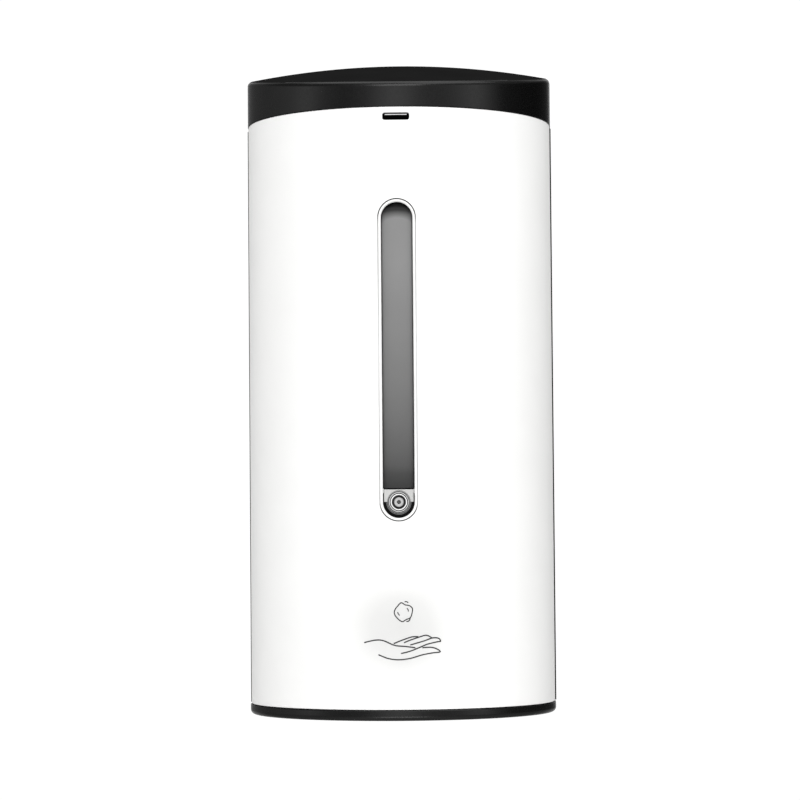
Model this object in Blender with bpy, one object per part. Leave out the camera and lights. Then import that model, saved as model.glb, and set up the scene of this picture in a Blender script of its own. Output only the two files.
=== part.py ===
"""Wall mounted automatic soap dispenser, an assembly of separate pieces.

Millimetres in the dimensions, metres in the scene. X runs to the right as one faces the
dispenser, Y runs back to the wall plane at y = 0, Z runs up. Heights are first counted from the
underside of the base plate; at the end everything is lowered by MOUNT_HEIGHT, so that the origin
is the middle of the wall plate's rear face.
"""

import math

import bmesh
import bpy
from mathutils import Matrix, Vector

MM = 0.001

# Whole object
HALF_WIDTH = 62.1  # front cover, at the widest plane
BOW_DEPTH = 68.0  # from the widest plane to the front apex
WIDEST_Y = -42.0
APEX_Y = WIDEST_Y - BOW_DEPTH
SEAM_Y = -30.0  # rear housing meets the cover and the lid
REAR_Y = -0.6
GAP = 0.3
MOUNT_HEIGHT = 132.0  # wall plate's middle above the underside of the base

# Heights from the underside of the base
BASE_TOP = 4.1
COVER_BOTTOM = BASE_TOP + GAP
COVER_TOP = 240.0
LID_BOTTOM = COVER_TOP + 0.4

# Lid top: rises to the back, and falls to the sides
CREASE_Z = 249.0
RISE = 0.33
RISE_FALL_OFF = 0.0012
SIDE_DROP = 6.0
LID_FILLET = 1.8
LID_WALL = 2.3
LID_GROW = 0.2

COVER_WALL = 2.2
HOUSING_HALF = 62.75
HOUSING_WALL = 2.4
HOUSING_BACK_Y = (-6.8, -4.6)

# Lid hinge
HINGE_Y = -10.0
HINGE_Z = 265.7
HINGE_CLEAR_R = 6.7
LID_REAR_Y = -5.6
KNUCKLE_R = 2.4
PIN_R = 1.0

# Level window in the cover
WINDOW_Z = 140.9
WINDOW_HALF_W = 6.2
WINDOW_HALF_H = 61.7
WINDOW_ROUNDING = 1.2

# Tank
TANK_Z = (90.7, 229.8)
TANK_A = 55.5
TANK_B = 61.5
TANK_REAR = -36.0
TANK_WALL = 1.8
RIB_HALF_W = 5.9
RIB_FRONT = -108.4
RIB_TOP = 198.6
MOUTH_Y = -64.0
MOUTH_R = 19.0

# Pump
PUMP_X = 10.0
PUMP_Z = 50.0
HOSE_Y = -79.5
HOSE_R = 2.4
HOSE_BORE = 1.5
HOSE_LOOP_R = 13.0
HOSE_BEND_R = 10.0
ROLLER_PITCH = 7.1
ROLLER_R = 3.2

# Batteries
CELL_R = 7.15
CELL_Z = (6.6, 57.1)
CELL_X = (-23.4, -7.8, 7.8, 23.4)
CELL_Y = -19.0

POSTS = ((48.0, -60.0), (-48.0, -60.0), (48.0, -20.0), (-48.0, -20.0))
COVER_BOSSES = ((30.0, -96.0), (-30.0, -96.0))

for old in list(bpy.data.objects):
    bpy.data.objects.remove(old)


# ---------------------------------------------------------------- materials

MATERIALS = {}


def material(name, color, roughness=0.4, metallic=0.0, alpha=1.0):
    mat = bpy.data.materials.new(name)
    mat.use_nodes = True
    shader = mat.node_tree.nodes["Principled BSDF"]
    shader.inputs["Base Color"].default_value = (*color, 1.0)
    shader.inputs["Roughness"].default_value = roughness
    shader.inputs["Metallic"].default_value = metallic
    shader.inputs["Alpha"].default_value = alpha
    mat.diffuse_color = (*color, alpha)
    MATERIALS[name] = mat


material("white_gloss", (0.86, 0.86, 0.85), 0.25)
material("black_gloss", (0.02, 0.02, 0.022), 0.25)
material("black_matte", (0.03, 0.03, 0.03), 0.6)
material("tank_grey", (0.42, 0.43, 0.43), 0.3, alpha=0.75)
material("frame_white", (0.80, 0.80, 0.78), 0.5)
material("seal_rubber", (0.10, 0.10, 0.10), 0.8)
material("silicone", (0.75, 0.76, 0.74), 0.5, alpha=0.8)
material("steel", (0.62, 0.62, 0.60), 0.3, 1.0)
material("pump_grey", (0.35, 0.36, 0.38), 0.5)
material("roller_white", (0.80, 0.80, 0.76), 0.4)
material("board_green", (0.03, 0.16, 0.07), 0.5)
material("lamp_clear", (0.75, 0.75, 0.72), 0.15)
material("sensor_dark", (0.03, 0.01, 0.015), 0.15)
material("cell_wrap", (0.12, 0.20, 0.32), 0.35)


# ---------------------------------------------------------------- mesh tools


def finish(name, mesh_data, mat, pivot=None, smooth=True):
    """Makes an object from a bmesh in millimetres, with its origin at the pivot."""
    bmesh.ops.remove_doubles(mesh_data, verts=mesh_data.verts, dist=1e-4)
    bmesh.ops.recalc_face_normals(mesh_data, faces=mesh_data.faces)
    mesh = bpy.data.meshes.new(name)
    origin = Vector(pivot or (0.0, 0.0, 0.0))
    bmesh.ops.transform(
        mesh_data,
        matrix=Matrix.Scale(MM, 4) @ Matrix.Translation(-origin),
        verts=mesh_data.verts,
    )
    mesh_data.to_mesh(mesh)
    mesh_data.free()
    if mat:
        mesh.materials.append(MATERIALS[mat])
    obj = bpy.data.objects.new(name, mesh)
    obj.location = origin * MM
    bpy.context.scene.collection.objects.link(obj)
    if smooth:
        mesh.shade_smooth()
        mesh.set_sharp_from_angle(angle=math.radians(32))
    return obj


def loft(rings, wrap=False):
    """Skins a list of closed rings of points. Ends are capped, or joined up with wrap."""
    bm = bmesh.new()
    rows = [[bm.verts.new(p) for p in ring] for ring in rings]
    pairs = list(zip(rows, rows[1:]))
    if wrap:
        pairs.append((rows[-1], rows[0]))
    for low, high in pairs:
        count = len(low)
        for i in range(count):
            j = (i + 1) % count
            bm.faces.new((low[i], low[j], high[j], high[i]))
    if not wrap:
        bm.faces.new(rows[0])
        bm.faces.new(rows[-1])
    return bm


def box_mesh(x, y, z):
    ring = [(x[0], y[0]), (x[1], y[0]), (x[1], y[1]), (x[0], y[1])]
    return loft([[(px, py, h) for px, py in ring] for h in z])


def prism_mesh(outline, z):
    return loft([[(px, py, h) for px, py in outline] for h in z])


def turned_point(center, axis, r, along, angle):
    c = r * math.cos(angle)
    s = r * math.sin(angle)
    x, y, z = center
    if axis == "X":
        return (x + along, y + c, z + s)
    if axis == "Y":
        return (x + c, y + along, z + s)
    return (x + c, y + s, z + along)


def turned_mesh(center, axis, profile, count=24, hollow=False):
    """Turns (radius, distance along the axis) pairs. A hollow profile is itself a closed loop."""
    rings = []
    for r, along in profile:
        r = max(r, 1e-3)
        rings.append(
            [
                turned_point(center, axis, r, along, 2 * math.pi * k / count)
                for k in range(count)
            ]
        )
    return loft(rings, wrap=hollow)


def cylinder_mesh(center, axis, r, span, count=24):
    return turned_mesh(center, axis, [(r, span[0]), (r, span[1])], count)


def tube_mesh(center, axis, r, bore, span, count=24):
    profile = [(r, span[0]), (r, span[1]), (bore, span[1]), (bore, span[0])]
    return turned_mesh(center, axis, profile, count, hollow=True)


def combine(obj, cutter_mesh, operation="DIFFERENCE"):
    """Adds or takes away a bmesh from an object, by an exact Boolean."""
    cutter = finish("tool", cutter_mesh, None, smooth=False)
    modifier = obj.modifiers.new(operation, "BOOLEAN")
    modifier.operation = operation
    modifier.solver = "EXACT"
    modifier.object = cutter
    graph = bpy.context.evaluated_depsgraph_get()
    mesh = bpy.data.meshes.new_from_object(obj.evaluated_get(graph))
    obj.modifiers.remove(modifier)
    bpy.data.objects.remove(cutter)
    obj.data = mesh
    bm = bmesh.new()
    bm.from_mesh(mesh)
    bmesh.ops.remove_doubles(bm, verts=bm.verts, dist=2e-6)
    bmesh.ops.dissolve_limit(
        bm, angle_limit=math.radians(0.03), verts=bm.verts, edges=bm.edges
    )
    bm.to_mesh(mesh)
    bm.free()
    mesh.shade_smooth()
    mesh.set_sharp_from_angle(angle=math.radians(32))
    return obj


def taken_back(obj):
    """A helper object as a bmesh in millimetres again. The object goes."""
    bm = bmesh.new()
    bm.from_mesh(obj.data)
    bmesh.ops.transform(bm, matrix=Matrix.Scale(1 / MM, 4), verts=bm.verts)
    bpy.data.objects.remove(obj)
    return bm


def cut(obj, *meshes):
    for mesh in meshes:
        combine(obj, mesh, "DIFFERENCE")
    return obj


def add(obj, *meshes):
    for mesh in meshes:
        combine(obj, mesh, "UNION")
    return obj


def plan(a, b, rear, arc=32, side=1):
    """Bowed outline: a straight side, half an ellipse round the front, the other side."""
    right = [(a, rear + (WIDEST_Y - rear) * i / side) for i in range(side)]
    bow = []
    for k in range(arc + 1):
        angle = math.pi * k / arc
        bow.append((a * math.cos(angle), WIDEST_Y - b * math.sin(angle)))
    left = [(-px, py) for px, py in reversed(right)]
    return right + bow + left


def shell_plan(a, b, wall, rear):
    """The bowed outline as a wall of its own, open at the back."""
    return plan(a, b, rear) + plan(a - wall, b - wall, rear)[::-1]


def vault(x, y):
    back = y - APEX_Y
    side = x / HALF_WIDTH
    return (
        CREASE_Z + RISE * back - RISE_FALL_OFF * back * back - SIDE_DROP * side * side
    )


def vaulted_mesh(a, b, rear, low, drop, fillet, arc=32, steps=4):
    """Solid under the vaulted top, over the bowed outline."""
    rings = [[(px, py, low) for px, py in plan(a, b, rear, arc, 3)]]
    for k in range(3 if fillet else 1):
        phi = math.radians(45 * k)
        inset = fillet * (1 - math.cos(phi))
        lower = drop + fillet * (1 - math.sin(phi))
        outline = plan(a - inset, b - inset, rear, arc, 3)
        rings.append([(px, py, vault(px, py) - lower) for px, py in outline])
    for k in range(1, steps + 1):
        scale = max(1 - k / steps, 1e-6)
        outline = plan((a - fillet) * scale, (b - fillet) * scale, rear, arc, 3)
        if k == steps:
            break
        rings.append([(px, py, vault(px, py) - drop) for px, py in outline])
    spine = [(0.0, max(py, WIDEST_Y)) for _, py in plan(a, b, rear, arc, 3)]
    bm = bmesh.new()
    rows = [[bm.verts.new(p) for p in ring] for ring in rings]
    rows.append([bm.verts.new((px, py, vault(px, py) - drop)) for px, py in spine])
    for lower_row, upper_row in zip(rows, rows[1:]):
        count = len(lower_row)
        for i in range(count):
            j = (i + 1) % count
            bm.faces.new((lower_row[i], lower_row[j], upper_row[j], upper_row[i]))
    bm.faces.new(rows[0])
    bmesh.ops.remove_doubles(bm, verts=bm.verts, dist=1e-4)
    bmesh.ops.triangulate(bm, faces=bm.faces)
    return bm


def stadium(half_w, half_h, count=8):
    """Upright slot outline in X and Z, with round ends."""
    points = []
    for k in range(count + 1):
        angle = math.pi * k / count
        points.append(
            (half_w * math.cos(angle), half_h - half_w + half_w * math.sin(angle))
        )
    for k in range(count + 1):
        angle = math.pi + math.pi * k / count
        points.append(
            (half_w * math.cos(angle), half_w - half_h + half_w * math.sin(angle))
        )
    return points


def rounded_rect(half_w, half_h, r, count=4):
    points = []
    for corner in range(4):
        cx = (half_w - r) * (1 if corner in (0, 3) else -1)
        cz = (half_h - r) * (1 if corner in (0, 1) else -1)
        for k in range(count + 1):
            angle = math.pi / 2 * (corner + k / count)
            points.append((cx + r * math.cos(angle), cz + r * math.sin(angle)))
    return points


def facing_mesh(outlines, center_z, center_x=0.0):
    """Lofts X-Z outlines along Y. Each entry is (y, outline)."""
    return loft(
        [[(center_x + px, y, center_z + pz) for px, pz in line] for y, line in outlines]
    )


def screw_mesh(center, axis, head_r, head_h, shank_r, length, inward):
    """Pan head with a cross recess drawn as a square socket, and a plain shank."""
    s = inward
    profile = [
        (head_r * 0.35, s * head_h * 0.55),
        (head_r * 0.35, 0.0),
        (head_r * 0.8, 0.0),
        (head_r, s * head_h * 0.4),
        (head_r, s * head_h),
        (shank_r, s * head_h),
        (shank_r, s * (length - 0.8)),
        (shank_r * 0.3, s * length),
    ]
    return turned_mesh(center, axis, profile, 8)


# ---------------------------------------------------------------- wall plate


def build_wall_plate():
    outline = rounded_rect(50.0, 108.0, 8.0)
    plate = finish(
        "wall_plate",
        facing_mesh([(-4.1, outline), (0.0, outline)], MOUNT_HEIGHT),
        "black_matte",
    )
    for x in (-30.0, 30.0):
        cut(plate, cylinder_mesh((x, 0, 214.0), "Y", 4.5, (-6, 2), 16))
        cut(plate, box_mesh((x - 2.3, x + 2.3), (-6, 2), (214.0, 224.0)))
        cut(plate, box_mesh((x - 6.0, x + 6.0), (-6, 2), (47.7, 52.3)))
    for x in (-38.0, 38.0):
        for z in (76.0, 186.0):
            tab = box_mesh((x - 5, x + 5), (-10.6, -3.0), (z, z + 3))
            lip = box_mesh((x - 5, x + 5), (-10.6, -8.0), (z + 1, z + 8))
            add(plate, tab, lip)
    return plate


def build_rear_housing():
    stations = [-HOUSING_HALF]
    for k in range(1, 4):
        phi = math.radians(30 * k)
        stations.append(-HOUSING_HALF + LID_FILLET * (1 - math.cos(phi)))
    stations += [-50, -38, -26, -13, 0.0]
    stations += [-x for x in reversed(stations[:-1])]
    depth = [REAR_Y, -10.0, -20.0, SEAM_Y]
    bm = bmesh.new()
    grid = []
    for y in depth:
        row = []
        for x in stations:
            edge = HOUSING_HALF - abs(x)
            fall = 0.0
            if edge < LID_FILLET:
                fall = LID_FILLET - math.sqrt(LID_FILLET**2 - (LID_FILLET - edge) ** 2)
            row.append(bm.verts.new((x, y, vault(x, y) - fall)))
        grid.append(row)
    for upper, lower in zip(grid, grid[1:]):
        for i in range(len(upper) - 1):
            bm.faces.new((upper[i], upper[i + 1], lower[i + 1], lower[i]))
    feet = [
        [bm.verts.new((x, y, COVER_BOTTOM)) for x in (stations[0], stations[-1])]
        for y in depth
    ]
    for k in range(len(depth) - 1):
        bm.faces.new((feet[k][0], feet[k + 1][0], grid[k + 1][0], grid[k][0]))
        bm.faces.new((feet[k][1], feet[k + 1][1], grid[k + 1][-1], grid[k][-1]))
        bm.faces.new((feet[k][0], feet[k][1], feet[k + 1][1], feet[k + 1][0]))
    for k in (0, -1):
        bm.faces.new([feet[k][0], feet[k][1], *reversed(grid[k])])
    housing = finish("rear_housing", bm, "black_gloss")
    inner = HOUSING_HALF - HOUSING_WALL
    cut(
        housing,
        box_mesh((-inner, inner), (-31, HOUSING_BACK_Y[0]), (-5, 254.7)),
        box_mesh((-inner, inner), (-31, -13.5), (240, 300)),
        cylinder_mesh(
            (0, HINGE_Y, HINGE_Z), "X", HINGE_CLEAR_R, (-inner, inner), 36
        ),
        box_mesh((-inner, inner), (-16.0, -10.0 + 4.95), (HINGE_Z, 300)),
        box_mesh((-59.0, 59.0), (HOUSING_BACK_Y[1], 3), (7.0, 245.0)),
    )
    for x in (-38.0, 38.0):
        for z in (76.0, 186.0):
            cut(housing, box_mesh((x - 5.5, x + 5.5), (-9, -3), (z - 10.6, z + 3.3)))
    for side in (-1, 1):
        for near in (14.0, 29.0):
            ends = sorted((side * near, side * (near + 5.0)))
            add(
                housing,
                box_mesh(ends, (HINGE_Y - 2.4, HINGE_Y), (256.7, HINGE_Z)),
                cylinder_mesh((0, HINGE_Y, HINGE_Z), "X", KNUCKLE_R, ends, 20),
            )
        pin_way = sorted((side * 12.0, side * 36.0))
        cut(
            housing,
            cylinder_mesh((0, HINGE_Y, HINGE_Z), "X", PIN_R + GAP, pin_way, 12),
        )
        boss = (side * 50.0, 0, 100.0)
        add(housing, cylinder_mesh(boss, "Y", 3.6, (-12.0, -6.0), 16))
        cut(housing, cylinder_mesh(boss, "Y", 1.3, (-13.0, -6.9), 12))
    return housing


def build_hinge_pins():
    for side, name in ((-1, "hinge_pin_left"), (1, "hinge_pin_right")):
        ends = sorted((side * 14.0, side * 34.0))
        finish(
            name, cylinder_mesh((0, HINGE_Y, HINGE_Z), "X", PIN_R, ends, 12), "steel"
        )


# ---------------------------------------------------------------- outer shell


def build_front_cover():
    outline = shell_plan(HALF_WIDTH, BOW_DEPTH, COVER_WALL, SEAM_Y - GAP)
    cover = finish(
        "front_cover",
        prism_mesh(outline, (COVER_BOTTOM, COVER_TOP)),
        "white_gloss",
    )
    r = WINDOW_ROUNDING
    inner = stadium(WINDOW_HALF_W, WINDOW_HALF_H)
    outer = stadium(WINDOW_HALF_W + 1.7 * r, WINDOW_HALF_H + 1.7 * r)
    cut(
        cover,
        facing_mesh(
            [(-110.6, outer), (-110.6 + 1.7 * r, inner), (-104.0, inner)], WINDOW_Z
        ),
    )
    slot = rounded_rect(5.2, 1.5, 0.8)
    cut(cover, facing_mesh([(-112, slot), (-104, slot)], 236.0))
    for side in (-1, 1):
        for z in (60.0, 180.0):
            root = sorted((side * 58.3, side * 61.1))
            tongue = sorted((side * 58.3, side * 60.1))
            add(
                cover,
                box_mesh(root, (-36.0, SEAM_Y - GAP - 0.01), (z, z + 24)),
                box_mesh(tongue, (-34.0, -25.0), (z, z + 24)),
            )
        ledge = sorted((side * 57.1, side * 61.1))
        add(cover, box_mesh(ledge, (-50.0, -42.0), (227.0, 230.1)))
    for x, y in COVER_BOSSES:
        add(cover, cylinder_mesh((x, y, 0), "Z", 3.4, (COVER_BOTTOM, 20.0), 14))
        cut(cover, cylinder_mesh((x, y, 0), "Z", 1.3, (3.0, 17.0), 8))
    return cover


def build_base_plate():
    a = HALF_WIDTH + 0.4
    b = BOW_DEPTH + 0.4
    round_r = 2.8
    rings = []
    for k in range(3):
        phi = math.radians(45 * k)
        inset = round_r * (1 - math.sin(phi))
        outline = plan(a - inset, b - inset, REAR_Y)
        rings.append([(px, py, round_r * (1 - math.cos(phi))) for px, py in outline])
    rings.append([(px, py, BASE_TOP) for px, py in plan(a, b, REAR_Y)])
    base = finish("base_plate", loft(rings), "black_gloss")
    cut(
        base,
        cylinder_mesh((0, HOSE_Y, 0), "Z", 6.0, (-2, 6), 24),
        box_mesh((-15.0, 15.0), (-66.0, -56.0), (-2, 6)),
        box_mesh((-33.0, 33.0), (-28.6, -9.5), (-2, 6)),
        box_mesh((33.5, 42.5), (-47.0, -43.0), (-2, 6)),
        cylinder_mesh((0, -11.2, 1.6), "X", 1.0, (-34.8, 34.8), 12),
    )
    for x, y in POSTS + COVER_BOSSES:
        profile = [(3.3, -1.0), (3.3, 2.0), (1.4, 2.0), (1.4, 6.0)]
        cut(base, turned_mesh((x, y, 0), "Z", profile, 12))
    return base


def build_top_lid():
    lid = finish(
        "top_lid",
        vaulted_mesh(
            HALF_WIDTH + LID_GROW,
            BOW_DEPTH + LID_GROW,
            LID_REAR_Y,
            LID_BOTTOM,
            0.0,
            LID_FILLET,
        ),
        "black_gloss",
        pivot=(0, HINGE_Y, HINGE_Z),
    )
    a = HALF_WIDTH + LID_GROW - LID_WALL
    b = BOW_DEPTH + LID_GROW - LID_WALL
    hollow = finish(
        "lid_hollow", vaulted_mesh(a, b, -2.0, 230.0, 2.4, 0.0, 32, 3), None
    )
    cut(hollow, tube_mesh((0, MOUTH_Y, 0), "Z", 22.0, 20.0, (243.2, 300.0), 24))
    cut(lid, taken_back(hollow))
    for side in (-1, 1):
        cheek = sorted((side * 59.7, side * 75.0))
        cut(lid, box_mesh(cheek, (SEAM_Y - GAP, 3.0), (230, 290)))
        for near in (14.0, 29.0):
            notch = sorted((side * (near - 0.35), side * (near + 5.35)))
            cut(
                lid,
                cylinder_mesh((0, HINGE_Y, HINGE_Z), "X", KNUCKLE_R + 0.4, notch, 20),
            )
        barrel = sorted((side * 19.4, side * 28.6))
        add(
            lid,
            cylinder_mesh((0, HINGE_Y, HINGE_Z), "X", KNUCKLE_R, barrel, 20),
        )
        cut(
            lid,
            cylinder_mesh(
                (0, HINGE_Y, HINGE_Z), "X", PIN_R + GAP, sorted((side * 13, side * 35)), 12
            ),
        )
    add(
        lid,
        box_mesh((-2.5, 2.5), (-101.5, -100.0), (233.4, 250.5)),
        box_mesh((-2.5, 2.5), (-100.6, -98.9), (233.4, 236.2)),
    )
    return lid


def build_lid_seal():
    profile = [(18.4, 241.3), (23.6, 241.3), (23.6, 242.9), (18.4, 242.9)]
    finish(
        "lid_seal",
        turned_mesh((0, MOUTH_Y, 0), "Z", profile, 24, hollow=True),
        "seal_rubber",
        pivot=(0, HINGE_Y, HINGE_Z),
    )


# ---------------------------------------------------------------- tank and frame


def build_tank():
    tank = finish(
        "soap_tank",
        prism_mesh(plan(TANK_A, TANK_B, TANK_REAR, 24), TANK_Z),
        "tank_grey",
    )
    rib_half = (RIB_TOP - TANK_Z[0]) / 2
    rib_mid = TANK_Z[0] + rib_half
    face = stadium(RIB_HALF_W, rib_half)
    flat_foot = [(px, max(pz, -rib_half)) for px, pz in face[:9]]
    flat_foot += [(-RIB_HALF_W, -rib_half), (RIB_HALF_W, -rib_half)]
    core_foot = [(px * 0.7, pz - 1.8 if pz > 0 else pz + 2.4) for px, pz in flat_foot]
    add(tank, facing_mesh([(RIB_FRONT, flat_foot), (-98.0, flat_foot)], rib_mid))
    add(
        tank,
        cylinder_mesh((0, MOUTH_Y, 0), "Z", 21.5, (TANK_Z[1] - 1, 240.8), 24),
    )
    core = plan(TANK_A - TANK_WALL, TANK_B - TANK_WALL, TANK_REAR - TANK_WALL, 24)
    cut(
        tank,
        prism_mesh(core, (TANK_Z[0] + TANK_WALL, TANK_Z[1] - TANK_WALL)),
        facing_mesh([(RIB_FRONT + 1.6, core_foot), (-96.0, core_foot)], rib_mid),
        cylinder_mesh((0, MOUTH_Y, 0), "Z", MOUTH_R, (220, 245), 24),
        cylinder_mesh((0, HOSE_Y, 0), "Z", 4.0, (85, 96), 16),
    )
    return tank


def build_tank_outlet():
    profile = [
        (0.8, 80.6),
        (1.25, 80.6),
        (1.25, 87.2),
        (6.3, 87.2),
        (6.3, 90.4),
        (3.7, 90.4),
        (3.7, 93.8),
        (0.8, 93.8),
    ]
    finish(
        "tank_outlet",
        turned_mesh((0, HOSE_Y, 0), "Z", profile, 16, hollow=True),
        "frame_white",
    )


def build_inner_frame():
    frame = finish(
        "inner_frame",
        prism_mesh(plan(59.1, 64.2, -8.2, 24), (87.0, 90.4)),
        "frame_white",
    )
    cut(frame, cylinder_mesh((0, HOSE_Y, 0), "Z", 6.6, (80, 95), 20))
    add(
        frame,
        box_mesh((-7.4, 7.4), (-107.1, -103.0), (76.5, 90.4)),
        box_mesh((-12.0, 32.0), (-71.7, -69.5), (28.0, 88.0)),
    )
    cut(
        frame,
        cylinder_mesh((0, 0, 85.2), "Y", 4.3, (-109, -101), 20),
        cylinder_mesh((PUMP_X, 0, PUMP_Z), "Y", 3.2, (-74, -66), 20),
    )
    for x, y in POSTS:
        add(frame, cylinder_mesh((x, y, 0), "Z", 3.5, (COVER_BOTTOM, 88.0), 12))
        cut(frame, cylinder_mesh((x, y, 0), "Z", 1.3, (3.0, 18.0), 8))
    for side in (-1, 1):
        tab = sorted((side * 45.0, side * 55.0))
        add(frame, box_mesh(tab, (-14.6, -12.3), (88.0, 106.0)))
        cut(frame, cylinder_mesh((side * 50.0, 0, 100.0), "Y", 1.6, (-16, -11), 12))
    return frame


def build_status_light():
    finish(
        "light_bezel",
        turned_mesh(
            (0, 0, 85.2),
            "Y",
            [
                (2.95, -108.2),
                (3.4, -108.5),
                (5.0, -108.5),
                (5.3, -108.0),
                (5.3, -107.4),
                (4.0, -107.4),
                (4.0, -102.0),
                (2.95, -102.0),
            ],
            24,
            hollow=True,
        ),
        "black_matte",
    )
    finish(
        "status_light",
        turned_mesh(
            (0, 0, 85.2),
            "Y",
            [(0.6, -108.6), (1.6, -108.3), (2.5, -107.2), (2.6, -105.0), (2.6, -101.0)],
            20,
        ),
        "lamp_clear",
    )


def build_top_deck():
    deck = finish(
        "top_deck",
        prism_mesh(plan(59.1, 65.0, -8.2, 24), (230.5, 232.2)),
        "black_matte",
    )
    cut(deck, cylinder_mesh((0, MOUTH_Y, 0), "Z", 22.0, (220, 240), 24))
    for side in (-1, 1):
        rail = sorted((side * 8.2, side * 9.8))
        add(deck, box_mesh(rail, (-104.5, -96.0), (231.5, 238.0)))
    add(deck, box_mesh((-4.0, 4.0), (-88.9, -87.4), (231.5, 240.2)))
    return deck


def build_latch():
    latch = finish(
        "release_latch",
        facing_mesh(
            [
                (-109.2, rounded_rect(4.7, 1.1, 0.5)),
                (-108.9, rounded_rect(4.9, 1.2, 0.6)),
                (-105.0, rounded_rect(4.9, 1.2, 0.6)),
            ],
            236.0,
        ),
        "black_gloss",
        pivot=(0, -109.2, 236.0),
    )
    add(latch, box_mesh((-7.8, 7.8), (-106.3, -104.4), (232.7, 238.6)))
    for side in (-1, 1):
        arm = sorted((side * 5.6, side * 7.8))
        add(latch, box_mesh(arm, (-105.0, -95.5), (236.6, 238.6)))
    add(
        latch,
        box_mesh((-7.8, 7.8), (-97.5, -95.5), (236.6, 238.6)),
        box_mesh((-3.0, 3.0), (-98.5, -97.0), (236.6, 238.6)),
    )
    return latch


def swept_mesh(path, r, count, bore=0.0):
    """Round bar or pipe along a list of points."""
    points = [Vector(p) for p in path]
    rings = []
    inner = []
    normal = None
    for i, point in enumerate(points):
        ahead = points[min(i + 1, len(points) - 1)]
        behind = points[max(i - 1, 0)]
        tangent = (ahead - behind).normalized()
        if normal is None:
            start = Vector((0, 1, 0)) if abs(tangent.y) < 0.9 else Vector((1, 0, 0))
            normal = (start - tangent * start.dot(tangent)).normalized()
        else:
            normal = (normal - tangent * normal.dot(tangent)).normalized()
        side = tangent.cross(normal)
        ring = []
        hole = []
        for k in range(count):
            angle = 2 * math.pi * k / count
            spoke = normal * math.cos(angle) + side * math.sin(angle)
            ring.append(tuple(point + spoke * r))
            hole.append(tuple(point + spoke * bore))
        rings.append(ring)
        inner.append(hole)
    if bore:
        return loft(rings + inner[::-1], wrap=True)
    return loft(rings)


def build_latch_spring():
    turns = 3
    per_turn = 8
    path = []
    for k in range(turns * per_turn + 1):
        angle = 2 * math.pi * k / per_turn
        along = -93.0 + 3.6 * k / (turns * per_turn)
        path.append((1.7 * math.cos(angle), along, 236.6 + 1.7 * math.sin(angle)))
    finish("latch_spring", swept_mesh(path, 0.28, 5), "steel")


# ---------------------------------------------------------------- pump


def pump_outline_parts(span, r=18.5):
    center = (PUMP_X, 0, PUMP_Z)
    parts = [cylinder_mesh(center, "Y", r, span, 32)]
    for degrees in EAR_ANGLES:
        parts.append(cylinder_mesh(ear_center(degrees), "Y", 3.0, span, 10))
    return parts


EAR_ANGLES = (40.0, -40.0, 180.0)


def ear_center(degrees):
    angle = math.radians(degrees)
    return (PUMP_X + 19.6 * math.cos(angle), 0, PUMP_Z + 19.6 * math.sin(angle))


def build_pump():
    center = (PUMP_X, 0, PUMP_Z)
    parts = pump_outline_parts((-85.0, -72.0))
    body = finish("pump_body", parts[0], "pump_grey")
    add(body, *parts[1:])
    cut(
        body,
        cylinder_mesh(center, "Y", 15.7, (-87.0, -74.6), 32),
        cylinder_mesh(center, "Y", 2.6, (-76.0, -70.0), 16),
        box_mesh((-8.0, PUMP_X), (-87.0, -74.6), (PUMP_Z + 10.2, PUMP_Z + 25)),
        box_mesh((-8.0, PUMP_X), (-87.0, -74.6), (PUMP_Z - 25, PUMP_Z - 10.2)),
    )
    for degrees in EAR_ANGLES:
        cut(body, cylinder_mesh(ear_center(degrees), "Y", 1.2, (-87.0, -77.0), 8))
    parts = pump_outline_parts((-87.5, -85.3))
    cover = finish("pump_cover", parts[0], "roller_white")
    add(cover, *parts[1:])
    cut(cover, cylinder_mesh(center, "Y", 1.8, (-90.0, -84.0), 12))
    for k, degrees in enumerate(EAR_ANGLES):
        cut(cover, cylinder_mesh(ear_center(degrees), "Y", 1.2, (-90.0, -84.0), 8))
        x, _, z = ear_center(degrees)
        finish(
            f"pump_screw_{k + 1}",
            screw_mesh((x, -89.3, z), "Y", 2.0, 1.5, 0.9, 10.5, 1),
            "steel",
        )

    rotor = finish(
        "pump_rotor",
        cylinder_mesh(center, "Y", 9.5, (-76.6, -75.1), 24),
        "pump_grey",
        pivot=(PUMP_X, -79.5, PUMP_Z),
    )
    add(
        rotor,
        cylinder_mesh(center, "Y", 3.0, (-84.9, -76.0), 16),
        cylinder_mesh(center, "Y", 9.5, (-83.9, -82.4), 24),
        cylinder_mesh(center, "Y", 2.1, (-76.0, -62.0), 16),
        cylinder_mesh(center, "Y", 1.5, (-86.6, -84.0), 12),
    )
    for k in range(3):
        angle = math.radians(90 + 120 * k)
        x = PUMP_X + ROLLER_PITCH * math.cos(angle)
        z = PUMP_Z + ROLLER_PITCH * math.sin(angle)
        add(rotor, cylinder_mesh((x, 0, z), "Y", 1.0, (-83.0, -76.0), 10))
        finish(
            f"pump_roller_{k + 1}",
            tube_mesh((x, 0, z), "Y", ROLLER_R, 1.35, (-82.1, -76.9), 18),
            "roller_white",
            pivot=(x, -79.5, z),
        )


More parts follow.
